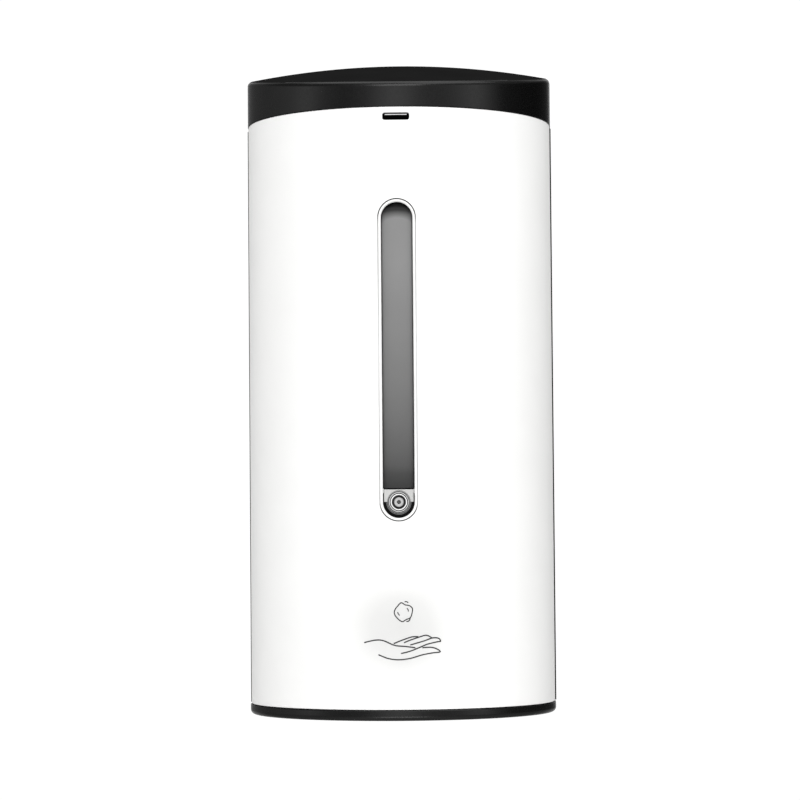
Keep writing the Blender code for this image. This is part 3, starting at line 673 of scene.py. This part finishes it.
def vaulted(a, b, rear, low, drop, fillet, arc, steps, lip=0.0):
    """Upright walls under a vaulted top, with a rounded upper edge and a bottom lip."""
    rings = []
    if lip:
        for k in range(3):
            phi = math.pi / 2 * k / 3
            inset = lip * (1 - math.sin(phi))
            z = low + lip * (1 - math.cos(phi))
            rings.append(
                [(px, py, z) for px, py in plan(a - inset, b - inset, rear, arc, 6)]
            )
        rings.append([(px, py, low + lip) for px, py in plan(a, b, rear, arc, 6)])
    else:
        rings.append([(px, py, low) for px, py in plan(a, b, rear, arc, 6)])
    turns = 8 if fillet else 1
    for k in range(turns + 1 if fillet else 1):
        phi = math.pi / 2 * k / turns
        inset = fillet * (1 - math.cos(phi))
        lower = drop + fillet * (1 - math.sin(phi))
        outline = plan(a - inset, b - inset, rear, arc, 6)
        rings.append([(px, py, vault(px, py) - lower) for px, py in outline])
    for k in range(1, steps):
        scale = 1 - k / steps
        outline = plan((a - fillet) * scale, (b - fillet) * scale, rear, arc, 6)
        rings.append([(px, py, vault(px, py) - drop) for px, py in outline])
    spine = [(0.0, max(py, WIDEST_Y)) for _, py in plan(a, b, rear, arc, 6)]
    rings.append([(px, py, vault(px, py) - drop) for px, py in spine])
    bm = loft(rings, caps=False)
    bm.verts.ensure_lookup_table()
    bm.faces.new([bm.verts[i] for i in range(len(rings[0]))])
    bmesh.ops.remove_doubles(bm, verts=bm.verts, dist=1e-4)
    bmesh.ops.triangulate(bm, faces=bm.faces)
    return bm


def build_lid():
    lid = to_object(
        "top_lid_shell",
        vaulted(LID_A, LID_B, LID_REAR, LID_LOW, 0.0, LID_FILLET, 128, 14, 0.12),
    )
    a = LID_A - LID_WALL
    b = LID_B - LID_WALL
    # hollow inside, with a ring left standing that presses the seal on the tank's mouth
    hollow = to_object("hollow", vaulted(a, b, -2.0, 230.0, 2.4, 0.0, 64, 7))
    cut(hollow, tube_mesh((0, MOUTH_Y, 0), "Z", 22.0, 20.0, (243.2, 300.0)))
    cut(lid, hollow)
    # room for the housing's cheeks and hinge ears, and the barrels on the pins
    for side in (-1, 1):
        cheek = sorted((side * 59.7, side * 75.0))
        cut(lid, box_mesh(cheek, (COVER_REAR, 3.0), (230, 290)))
        for near in (14.0, 29.0):
            notch = sorted((side * (near - 0.35), side * (near + 5.35)))
            cut(lid, cylinder_mesh(HINGE, "X", 2.8, notch))
        barrel = sorted((side * 19.4, side * 28.6))
        add(lid, cylinder_mesh(HINGE, "X", 2.4, barrel))
        cut(lid, cylinder_mesh(HINGE, "X", 1.3, sorted((side * 13, side * 35))))
    # the catch that the latch holds
    add(
        lid,
        box_mesh((-2.5, 2.5), (-101.5, -100.0), (233.4, 250.5)),
        box_mesh((-2.5, 2.5), (-100.6, -98.9), (233.4, 236.2)),
    )
    weighted(lid)
    dress(lid, BLACK, "lid", "black_gloss", "top_lid")
    lid.data.materials.append(TOP)
    for face in lid.data.polygons:
        middle = face.center / MM
        outside = middle.z - FLOOR_Z > vault(middle.x, middle.y) - 0.8
        if face.normal.z > 0.86 and outside:
            face.material_index = 1

    seal_z = (SEAL_LO.z / MM - FLOOR_Z, SEAL_HI.z / MM - FLOOR_Z)
    profile = [
        (18.5, seal_z[0] + 0.5),
        (19.0, seal_z[0] + 0.1),
        (19.9, seal_z[0]),
        (20.6, seal_z[0] + 0.35),
        (21.4, seal_z[0] + 0.35),
        (22.1, seal_z[0]),
        (23.1, seal_z[0] + 0.1),
        (23.6, seal_z[0] + 0.5),
        (23.6, seal_z[1]),
        (18.5, seal_z[1]),
    ]
    seal = to_object(
        "lid_seal_ring", turned_mesh((0, MOUTH_Y, 0), "Z", profile, 96, hollow=True)
    )
    dress(seal, RUBBER, "lid", "seal_rubber", "lid_seal")


# ---------------------------------------------------------------- base and screws

SCREWS_BELOW = [f"base_screw_{k}" for k in range(1, 5)]
SCREWS_BELOW += [f"cover_screw_{k}" for k in (1, 2)]
SCREWS_INSIDE = [f"frame_screw_{k}" for k in (1, 2)]
SCREWS_INSIDE += [f"pump_screw_{k}" for k in (1, 2, 3)]


def build_base():
    a = (BASE_HI.x - BASE_LO.x) / 2 / MM
    b = WIDEST_Y - BASE_LO.y / MM
    top = (BASE_HI.z - BASE_LO.z) / MM
    rear = BASE_HI.y / MM
    round_r = 1.9
    rings = []
    for k in range(9):
        phi = math.pi / 2 * k / 8
        inset = round_r * (1 - math.sin(phi))
        outline = plan(a - inset, b - inset, rear)
        rings.append([(px, py, round_r * (1 - math.cos(phi))) for px, py in outline])
    rings.append([(px, py, top - 0.25) for px, py in plan(a, b, rear)])
    rings.append([(px, py, top) for px, py in plan(a - 0.25, b - 0.25, rear)])
    base = to_object("base_plate_shell", loft(rings))

    # nozzle hole, sensor window, battery door, switch slot and the door's pin bore
    through = (-2, 6)
    cut(
        base,
        cylinder_mesh((0, NOZZLE_Y, 0), "Z", 6.0, through),
        box_mesh((-15.0, 15.0), (-66.0, -56.0), through),
        box_mesh((-33.0, 33.0), (-28.6, -9.5), through),
        box_mesh((33.5, 42.5), (-47.0, -43.0), through),
        cylinder_mesh((0, -11.2, 1.6), "X", 1.0, (-34.8, 34.8)),
    )
    for name in SCREWS_BELOW:
        low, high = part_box(name)
        x = (low.x + high.x) / 2 / MM
        y = (low.y + high.y) / 2 / MM
        profile = [(3.6, -1.0), (3.6, 0.0), (3.3, 0.3), (3.3, 2.0), (1.4, 2.0)]
        profile.append((1.4, 6))
        cut(base, turned_mesh((x, y, 0), "Z", profile, 40))
    weighted(base)
    dress(base, BLACK, "housing", "black_gloss", "base_plate")


def build_screw(name, axis):
    """Pan head screw with a cross recess, in the place of the frame's own."""
    low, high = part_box(name)
    middle = (low + high) / 2 / MM
    lift = -FLOOR_Z
    length = (high.z - low.z if axis == "Z" else high.y - low.y) / MM
    head = (high.x - low.x) / 2 / MM
    start = (low.z / MM + lift) if axis == "Z" else low.y / MM
    shank = 1.0
    profile = [
        (0.0, 0.12),
        (head * 0.55, 0.02),
        (head * 0.85, 0.28),
        (head, 0.75),
        (head, 1.4),
        (shank, 1.4),
    ]
    # thread, as plain rings
    turn = 1.4
    while turn < length - 1.2:
        profile += [(shank * 0.82, turn + 0.25), (shank, turn + 0.5)]
        turn += 0.5
    profile += [(shank * 0.7, length - 0.5), (0.0, length)]
    if axis == "Z":
        center = (middle.x, middle.y, 0)
    else:
        center = (middle.x, 0, middle.z + lift)
    profile = [(r, start + along) for r, along in profile]
    screw = to_object(f"{name}_made", turned_mesh(center, axis, profile, 28))
    w = head * 0.13
    reach = head * 0.55
    for wide, tall in ((reach, w), (w, reach)):
        if axis == "Z":
            tool = box_mesh(
                (middle.x - wide, middle.x + wide),
                (middle.y - tall, middle.y + tall),
                (start - 1, start + 0.9),
            )
        else:
            tool = box_mesh(
                (middle.x - wide, middle.x + wide),
                (start - 1, start + 0.9),
                (middle.z + lift - tall, middle.z + lift + tall),
            )
        cut(screw, tool)
    dress(screw, STEEL, "housing", "steel", name)


# ---------------------------------------------------------------- window, tank, light


def build_tank():
    tank_a = (TANK_HI.x - TANK_LO.x) / 2 / MM
    low = TANK_LO.z / MM - FLOOR_Z
    top = 229.8  # the tank's roof; its mouth stands higher
    rear = TANK_HI.y / MM
    tank_b = WIDEST_Y - TANK_FRONT
    rings = []
    for inset, z in (
        (1.6, low),
        (0.5, low + 0.5),
        (0.0, low + 1.6),
        (0.0, top - 3.0),
        (0.9, top - 0.9),
        (3.0, top),
    ):
        rings.append(
            [
                (px, py, z)
                for px, py in plan(tank_a - inset, tank_b - inset, rear - inset, 96)
            ]
        )
    tank = to_object("soap_tank_body", loft(rings))
    add(tank, tube_mesh((0, MOUTH_Y, 0), "Z", 21.5, 19.0, (top - 1.2, 240.8), 96))
    wall = 1.8
    core = [
        [(px, py, z) for px, py in plan(tank_a - wall, tank_b - wall, rear - wall, 96)]
        for z in (low + wall, top - wall)
    ]
    cut(tank, loft(core))
    cut(
        tank,
        cylinder_mesh((0, MOUTH_Y, 0), "Z", 19.0, (220, 245), 96),
        cylinder_mesh((0, NOZZLE_Y, 0), "Z", 4.0, (85, 96)),
    )
    for z in (234.0, 237.0):
        add(tank, tube_mesh((0, MOUTH_Y, 0), "Z", 21.8, 20.5, (z, z + 0.9), 96))
    weighted(tank)
    dress(tank, SHELL, "housing", "tank_grey", "soap_tank")

    # the sight rib, softly crowned, that fills the window
    rib_w = 5.95
    rib_top = 203.6
    half = (rib_top - low) / 2
    count = 24
    rings = []
    face = stadium(rib_w, half, count)[: count + 1]
    face += [(-rib_w, -half), (rib_w, -half)]
    for shrink, y in (
        (1.0, -100.0),
        (1.0, -107.1),
        (0.97, -107.4),
        (0.9, -107.7),
        (0.75, -108.05),
        (0.5, -108.25),
        (0.2, -108.38),
    ):
        ring = []
        for px, pz in face:
            at_foot = pz < -half + 0.1
            drop = 0.0 if at_foot else (1 - shrink) * rib_w
            ring.append((px * shrink, y, low + half + (pz - drop)))
        rings.append(ring)
    rib = to_object("tank_sight_rib", loft(rings), 60)
    dress(rib, TANK, "housing", "tank_grey")


def build_light():
    center = (0.0, 0.0, LAMP_Z)
    bezel_profile = [
        (2.75, -107.7),
        (2.85, -108.2),
        (3.15, -108.25),
        (3.3, -107.9),
        (3.5, -107.9),
        (3.6, -108.35),
        (3.85, -108.4),
        (4.0, -108.0),
        (4.3, -107.9),
        (4.45, -107.6),
        (4.45, -107.2),
        (4.0, -107.2),
        (4.0, -102.0),
        (2.75, -102.0),
    ]
    ring = to_object(
        "light_bezel_rings", turned_mesh(center, "Y", bezel_profile, 96, hollow=True)
    )
    reach = 6.0
    tones = [
        (2.7, 0.02),
        (2.76, 0.62),
        (3.15, 0.62),
        (3.25, 0.01),
        (3.5, 0.01),
        (3.6, 0.42),
        (3.85, 0.38),
        (3.92, 0.004),
        (4.15, 0.004),
        (4.25, 0.3),
    ]
    mat = surface("bezel_rings", (0.5, 0.5, 0.5), 0.5, 0.1)
    ringed(mat, (LAMP_Z + FLOOR_Z) * MM, [(r / reach, v) for r, v in tones], reach * MM)
    dress(ring, mat, "housing", "black_matte", "light_bezel")

    lamp_profile = [
        (0.0, -107.3),
        (0.2, -107.25),
        (0.35, -106.8),
        (0.6, -106.8),
        (0.75, -107.6),
        (1.2, -107.85),
        (1.75, -107.7),
        (1.95, -107.3),
        (2.05, -106.9),
        (2.55, -106.9),
        (2.6, -106.0),
        (2.6, -101.0),
    ]
    lamp = to_object("status_light_lens", turned_mesh(center, "Y", lamp_profile, 96))
    tones = [
        (0.0, 0.25),
        (0.25, 0.2),
        (0.32, 0.006),
        (0.65, 0.006),
        (0.78, 0.28),
        (1.2, 0.34),
        (1.85, 0.26),
        (1.95, 0.004),
        (2.7, 0.004),
    ]
    mat = surface("lamp_rings", (0.5, 0.5, 0.5), 0.35, 0.15)
    ringed(mat, (LAMP_Z + FLOOR_Z) * MM, [(r / reach, v) for r, v in tones], reach * MM)
    dress(lamp, mat, "housing", "lamp_clear", "status_light")

    # pale seat above, dark socket below
    low = LAMP_Z + 0.1
    seat = to_object(
        "light_seat",
        box_mesh((-5.8, 5.8), (-107.9, -107.0), (low, TANK_LO.z / MM - FLOOR_Z - 0.5)),
    )
    cut(seat, cylinder_mesh(center, "Y", 4.5, (-110, -100), 64))
    bevelled(seat, 0.2)
    dress(seat, SEAT, "housing", "frame_white")
    # painted shadow: a black strip in the gap between the rib's foot and the seat
    shadow_top = TANK_LO.z / MM - FLOOR_Z - 0.2
    shadow_strip = to_object(
        "seat_shadow_strip",
        box_mesh((-5.8, 5.8), (-107.8, -107.0), (shadow_top - 0.28, shadow_top)),
    )
    dress(shadow_strip, SOCKET, "housing", "black_matte")
    socket = to_object(
        "light_socket",
        flat_on(
            [
                (-107.35, stadium(6.9, 6.9, 32)),
                (-107.15, stadium(7.1, 7.1, 32)),
            ],
            LAMP_Z - 0.2,
        ),
    )
    cut(socket, cylinder_mesh(center, "Y", 4.2, (-110, -100), 64))
    dress(socket, SOCKET, "housing", "black_matte")
    # painted highlight: a grey ring standing for light caught on the black socket's lip
    rim = [(4.65, -107.3), (4.7, -107.5), (4.85, -107.5), (4.9, -107.3)]
    lip = to_object("light_socket_lip", turned_mesh(center, "Y", rim, 96, hollow=True))
    dress(lip, SOCKET_LIP_HIGHLIGHT, "housing", "black_matte")


def build_latch():
    latch = to_object(
        "release_latch_body",
        flat_on(
            [
                (-109.25, rounded_rect(4.55, 0.95, 0.6)),
                (-109.15, rounded_rect(4.8, 1.15, 0.7)),
                (-108.9, rounded_rect(4.9, 1.2, 0.75)),
                (-105.0, rounded_rect(4.9, 1.2, 0.75)),
            ],
            SLOT_Z,
        ),
    )
    # flange behind the cover, two arms back, and the nose for the lid's catch
    add(latch, box_mesh((-7.8, 7.8), (-106.3, -104.4), (232.7, 238.6)))
    for side in (-1, 1):
        arm = sorted((side * 5.6, side * 7.8))
        add(latch, box_mesh(arm, (-105.0, -95.5), (236.6, 238.6)))
    add(
        latch,
        box_mesh((-7.8, 7.8), (-97.5, -95.5), (236.6, 238.6)),
        box_mesh((-3.0, 3.0), (-98.5, -97.0), (236.6, 238.6)),
    )
    dress(latch, LATCH, "latch", "black_gloss", "release_latch")
    # painted highlight: a pale strip standing for light caught on the latch's upper
    # edge
    highlight_strip = to_object(
        "latch_highlight_line",
        flat_on(
            [
                (-109.31, rounded_rect(4.3, 0.16, 0.1)),
                (-109.1, rounded_rect(4.35, 0.2, 0.12)),
            ],
            SLOT_Z + 0.86,
        ),
    )
    dress(highlight_strip, LATCH_HIGHLIGHT, "latch", "black_gloss")


# ---------------------------------------------------------------- the icon

INK_SUNK = 0.14  # share of its width that a line's axis lies under the skin


def smooth_line(points, per_span=8):
    """Catmull-Rom line through a few points."""
    line = []
    for i in range(len(points) - 1):
        p0 = points[max(i - 1, 0)]
        p1 = points[i]
        p2 = points[i + 1]
        p3 = points[min(i + 2, len(points) - 1)]
        for k in range(per_span):
            t = k / per_span
            line.append(
                tuple(
                    0.5
                    * (
                        2 * b
                        + (c - a) * t
                        + (2 * a - 5 * b + 4 * c - d) * t * t
                        + (3 * b - a - 3 * c + d) * t**3
                    )
                    for a, b, c, d in zip(p0, p1, p2, p3)
                )
            )
    line.append(points[-1])
    return line


def ink_line(name, points, width=0.56):
    """A printed line: a thin rod partly sunk in the bowed skin."""
    curve = bpy.data.curves.new(name, "CURVE")
    curve.dimensions = "3D"
    curve.bevel_depth = width / 2 * MM
    curve.bevel_resolution = 2
    curve.use_fill_caps = True
    spline = curve.splines.new("POLY")
    spline.points.add(len(points) - 1)
    for slot, (x, z) in zip(spline.points, points):
        y = skin_y(x) + width * INK_SUNK
        slot.co = (x * MM, y * MM, (z + FLOOR_Z) * MM, 1.0)
    obj = bpy.data.objects.new(name, curve)
    bpy.context.scene.collection.objects.link(obj)
    curve.materials.append(INK)
    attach(obj, "housing")
    return obj


# where the hand and the lump of foam over it stand, and the foam's scale
ICON_X = 1.0
HAND_Z = 28.35
FOAM = (1.45, 42.45)
FOAM_SIZE = 0.93


def build_icon():
    def hand(points):
        return smooth_line([(ICON_X + x, HAND_Z + z) for x, z in points])

    ink_line(
        "icon_wrist",
        hand(
            [(-14.9, 2.2), (-11, 3.1), (-7.6, 3.0), (-3.0, 1.1), (1.5, 0.6), (5, 0.1)]
        ),
    )
    ink_line(
        "icon_palm",
        hand(
            [
                (-9.4, -2.5),
                (-5.5, -4.0),
                (-1.4, -4.5),
                (3.0, -4.0),
                (7.6, -2.7),
                (11.5, -2.0),
                (14.6, -1.6),
                (13.2, -0.4),
                (11.0, 0.2),
                (7.7, 0.1),
            ]
        ),
    )
    ink_line(
        "icon_thumb",
        hand(
            [(-0.6, -2.1), (3.0, -1.2), (6.6, 0.2), (9.6, 1.4), (13, 2.2), (14.9, 2.5)]
        ),
    )
    ink_line(
        "icon_finger_1",
        hand([(14.9, 2.5), (14.0, 3.7), (11.6, 3.8), (8, 2.6), (3, 1.2)]),
    )
    ink_line(
        "icon_finger_2",
        hand([(11.4, 3.9), (9.3, 4.9), (6.4, 4.2), (2.8, 3.0), (0.6, 2.1)]),
    )
    ink_line("icon_finger_3", hand([(6.2, 4.4), (3.6, 4.3), (0.2, 3.2), (-3.4, 1.8)]))

    def foam(name, points, width):
        placed = [(FOAM[0] + FOAM_SIZE * x, FOAM[1] + FOAM_SIZE * z) for x, z in points]
        ink_line(name, smooth_line(placed, 5), width)

    foam(
        "icon_foam",
        [
            (-2.3, 2.5),
            (-1.5, 3.4),
            (-0.7, 3.8),
            (0.8, 2.9),
            (2.1, 2.7),
            (3.1, 2.2),
            (3.8, 1.3),
            (3.7, -0.1),
            (3.3, -1.7),
            (2.6, -2.7),
            (1.4, -3.1),
            (0.6, -3.6),
            (-0.4, -4.1),
            (-1.5, -3.6),
            (-2.5, -2.7),
            (-3.5, -1.4),
            (-3.8, -0.1),
            (-3.3, 1.3),
            (-2.3, 2.5),
        ],
        0.48,
    )
    foam("icon_foam_crest", [(0.6, 4.1), (1.0, 4.3), (1.6, 4.1), (2.1, 3.8)], 0.45)
    foam("icon_foam_foot", [(2.9, -2.2), (2.6, -3.4), (1.9, -4.0), (1.2, -3.9)], 0.5)
    foam("icon_bubble_1", [(1.5, 1.5), (2.0, 0.8), (2.1, 0.1)], 0.42)
    foam("icon_bubble_2", [(-2.4, -0.1), (-2.1, -0.9), (-1.6, -1.5)], 0.45)


# ---------------------------------------------------------------- kept and inner pieces


def keep(node, mat, width):
    """A frame node that shows as it is, with eased edges and a surface of its own."""
    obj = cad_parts[node]
    obj.data.materials.clear()
    obj.data.materials.append(mat)
    if width:
        bevelled(obj, width)


# surface and width of the eased edges
KEPT = {
    "wall_plate": (MATTE, 0.5),
    "rear_housing": (CASE, 0.35),
    "inner_frame": (PALE, 0.25),
    "top_deck": (MATTE, 0.3),
    "battery_box": (MATTE, 0.3),
    "battery_door": (BLACK, 0.3),
    "contact_left": (STEEL, 0.1),
    "contact_right": (STEEL, 0.1),
    "door_contact": (STEEL, 0.1),
    "control_board": (BOARD, 0.1),
    "sensor_board": (BOARD, 0.1),
    "controller_chip": (MATTE, 0.15),
    "power_switch": (MATTE, 0.2),
    "switch_slider": (ROLLER, 0.3),
    "sensor_window": (SENSOR, 0.25),
    "pump_body": (PUMP, 0.2),
    "pump_cover": (ROLLER, 0.2),
    "pump_rotor": (PUMP, 0.15),
    "pump_roller_1": (ROLLER, 0.2),
    "pump_roller_2": (ROLLER, 0.2),
    "pump_roller_3": (ROLLER, 0.2),
    "soap_hose": (SILICONE, 0.0),
    "latch_spring": (STEEL, 0.0),
    "tank_outlet": (PALE, 0.15),
    "hinge_pin_left": (STEEL, 0.1),
    "hinge_pin_right": (STEEL, 0.1),
    "gearbox": (PUMP, 0.2),
    "motor": (STEEL, 0.2),
    "nozzle_valve": (SILICONE, 0.1),
    "ir_emitter": (LAMP, 0.1),
    "ir_receiver": (SENSOR, 0.1),
}


def build_nozzle():
    profile = [
        (2.9, 1.6),
        (3.2, 1.2),
        (5.2, 1.2),
        (5.6, 1.6),
        (5.6, 4.4),
        (7.6, 4.4),
        (8.0, 4.8),
        (8.0, 6.4),
        (4.2, 6.4),
        (4.0, 13.8),
        (1.2, 14.1),
        (1.2, 20.0),
        (0.8, 20.0),
        (0.8, 8.6),
        (2.9, 8.6),
    ]
    nozzle = to_object(
        "nozzle_body", turned_mesh((0, NOZZLE_Y, 0), "Z", profile, 64, hollow=True)
    )
    dress(nozzle, PALE, "housing", "frame_white", "nozzle")


def build_batteries():
    for k in range(1, 5):
        low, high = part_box(f"battery_{k}")
        x = (low.x + high.x) / 2 / MM
        y = (low.y + high.y) / 2 / MM
        bottom = low.z / MM - FLOOR_Z
        top = high.z / MM - FLOOR_Z
        r = (high.x - low.x) / 2 / MM
        profile = [
            (0.0, bottom + 0.3),
            (r - 2.2, bottom + 0.3),
            (r - 1.8, bottom),
            (r - 0.6, bottom),
            (r, bottom + 0.6),
            (r, top - 2.0),
            (r - 0.7, top - 1.3),
            (2.7, top - 1.3),
            (2.7, top - 0.2),
            (2.4, top),
        ]
        cell = to_object(
            f"battery_{k}_cell", turned_mesh((x, y, 0), "Z", profile, 48)
        )
        dress(cell, CELL, "housing", "cell_wrap", f"battery_{k}")
        foot_r = r - 2.3
        foot = [(0.0, bottom + 0.22), (foot_r, bottom + 0.22), (foot_r, bottom + 0.6)]
        cap = to_object(f"battery_{k}_foot", turned_mesh((x, y, 0), "Z", foot, 48))
        dress(cap, STEEL, "housing", "steel")


# ---------------------------------------------------------------- stage


# brightness of the room by compass angle: 0 is in front of the part, +90 its right
ROOM = (
    (-180, 1.04),
    (-152, 1.04),
    (-132, 0.45),
    (-100, 0.42),
    (-60, 0.62),
    (0, 0.95),
    (60, 0.8),
    (95, 0.65),
    (130, 0.55),
    (152, 1.04),
    (180, 1.04),
)
# the same at eye level, where tall lamps and a dark screen stand
EYE_LEVEL = (
    (-180, 1.04),
    (-170, 1.04),
    (-162, 0.35),
    (-146, 0.4),
    (-132, 0.95),
    (-112, 1.15),
    (-92, 1.35),
    (-76, 2.5),
    (-62, 1.1),
    (-45, 0.6),
    (-25, 0.95),
    (-9, 2.6),
    (0, 3.0),
    (9, 2.4),
    (22, 1.1),
    (40, 1.15),
    (55, 2.0),
    (66, 3.0),
    (77, 1.4),
    (90, 0.2),
    (130, 0.1),
    (162, 0.1),
    (170, 1.04),
    (180, 1.04),
)
# how far the eye level counts, from straight down at 0 to straight up at 1
BAND = ((0.4, 0.0), (0.47, 1.0), (0.68, 1.0), (0.78, 0.0))
BRIGHTEST = 4.0  # a ramp holds 0 to 1, so it is filled with shares of this


def build_stage():
    """A room round the part, a floor far below it and three soft lamps (metres)."""
    world = bpy.data.worlds.new("studio")
    bpy.context.scene.world = world
    world.use_nodes = True
    nodes = world.node_tree.nodes
    links = world.node_tree.links
    background = nodes["Background"]
    background.inputs["Strength"].default_value = 1.0
    coords = nodes.new("ShaderNodeTexCoord")
    split = nodes.new("ShaderNodeSeparateXYZ")
    links.new(coords.outputs["Generated"], split.inputs["Vector"])
    tree = world.node_tree
    back = worked(tree, "MULTIPLY", split.outputs["Y"], -1.0)
    turn = worked(tree, "ARCTAN2", split.outputs["X"], back)
    around = share(tree, turn, -math.pi, math.pi)
    height = share(tree, split.outputs["Z"], -1.0, 1.0)
    mix = nodes.new("ShaderNodeMix")
    mix.data_type = "RGBA"
    links.new(grey_ramp(tree, height, BAND), mix.inputs["Factor"])
    for stops, socket in ((ROOM, "A"), (EYE_LEVEL, "B")):
        shares = [((angle + 180) / 360, value / BRIGHTEST) for angle, value in stops]
        links.new(grey_ramp(tree, around, shares), mix.inputs[socket])
    bright = nodes.new("ShaderNodeVectorMath")
    bright.operation = "SCALE"
    bright.inputs["Scale"].default_value = BRIGHTEST
    links.new(mix.outputs["Result"], bright.inputs[0])
    links.new(bright.outputs["Vector"], background.inputs["Color"])

    floor_mesh = bpy.data.meshes.new("floor")
    reach = 8.0
    drop = -1.1
    floor_mesh.from_pydata(
        [
            (-reach, -reach, drop),
            (reach, -reach, drop),
            (reach, reach, drop),
            (-reach, reach, drop),
        ],
        [],
        [(0, 1, 2, 3)],
    )
    floor = bpy.data.objects.new("floor", floor_mesh)
    bpy.context.scene.collection.objects.link(floor)
    floor_mat = surface("floor_pale", (0.95, 0.95, 0.945), 0.7, 0.2, tone=0.005)
    floor_mesh.materials.append(floor_mat)

    def softbox(name, place, aim, size, power):
        light = bpy.data.lights.new(name, "AREA")
        light.shape = "RECTANGLE"
        light.size = size[0]
        light.size_y = size[1]
        light.energy = power
        obj = bpy.data.objects.new(name, light)
        obj.location = place
        way = Vector(aim) - Vector(place)
        obj.rotation_euler = way.to_track_quat("-Z", "Y").to_euler()
        bpy.context.scene.collection.objects.link(obj)

    softbox("top_soft", (0.12, 0.1, 1.35), (0, -0.05, 0.1), (1.8, 1.1), 23.0)
    softbox("front_high", (0.0, -1.6, 1.5), (0, -0.1, 0), (1.2, 0.9), 24.0)
    softbox("front_low", (0.0, -1.8, -0.85), (0, -0.1, 0), (1.2, 0.4), 12.0)


LENS = 143.36
CAMERA_PLACE = (23.4, APEX_Y - 1242.4, 71.1)
CAMERA_AIM = (0.8, APEX_Y, 125.0)
CAMERA_ROLL = -0.466  # degrees


def build_camera():
    camera_data = bpy.data.cameras.new("camera")
    camera = bpy.data.objects.new("camera", camera_data)
    bpy.context.scene.collection.objects.link(camera)
    camera_data.lens = LENS
    camera_data.sensor_width = 36.0
    camera_data.clip_end = 100.0
    x, y, z = CAMERA_PLACE
    place = Vector((x, y, z + FLOOR_Z)) * MM
    x, y, z = CAMERA_AIM
    aim = Vector((x, y, z + FLOOR_Z)) * MM
    camera.location = place
    facing = (aim - place).to_track_quat("-Z", "Y").to_matrix().to_4x4()
    roll = Matrix.Rotation(math.radians(CAMERA_ROLL), 4, "Z")
    camera.matrix_world = Matrix.Translation(place) @ facing @ roll
    bpy.context.scene.camera = camera


build_cover()
build_lid()
build_base()
build_tank()
build_light()
build_latch()
build_icon()
build_nozzle()
build_batteries()
for screw in SCREWS_BELOW:
    build_screw(screw, "Z")
for screw in SCREWS_INSIDE:
    build_screw(screw, "Y")
for node, (kept_mat, kept_width) in KEPT.items():
    keep(node, kept_mat, kept_width)
build_stage()
build_camera()

bpy.context.scene.view_settings.view_transform = "Standard"
bpy.context.scene.view_settings.look = "None"
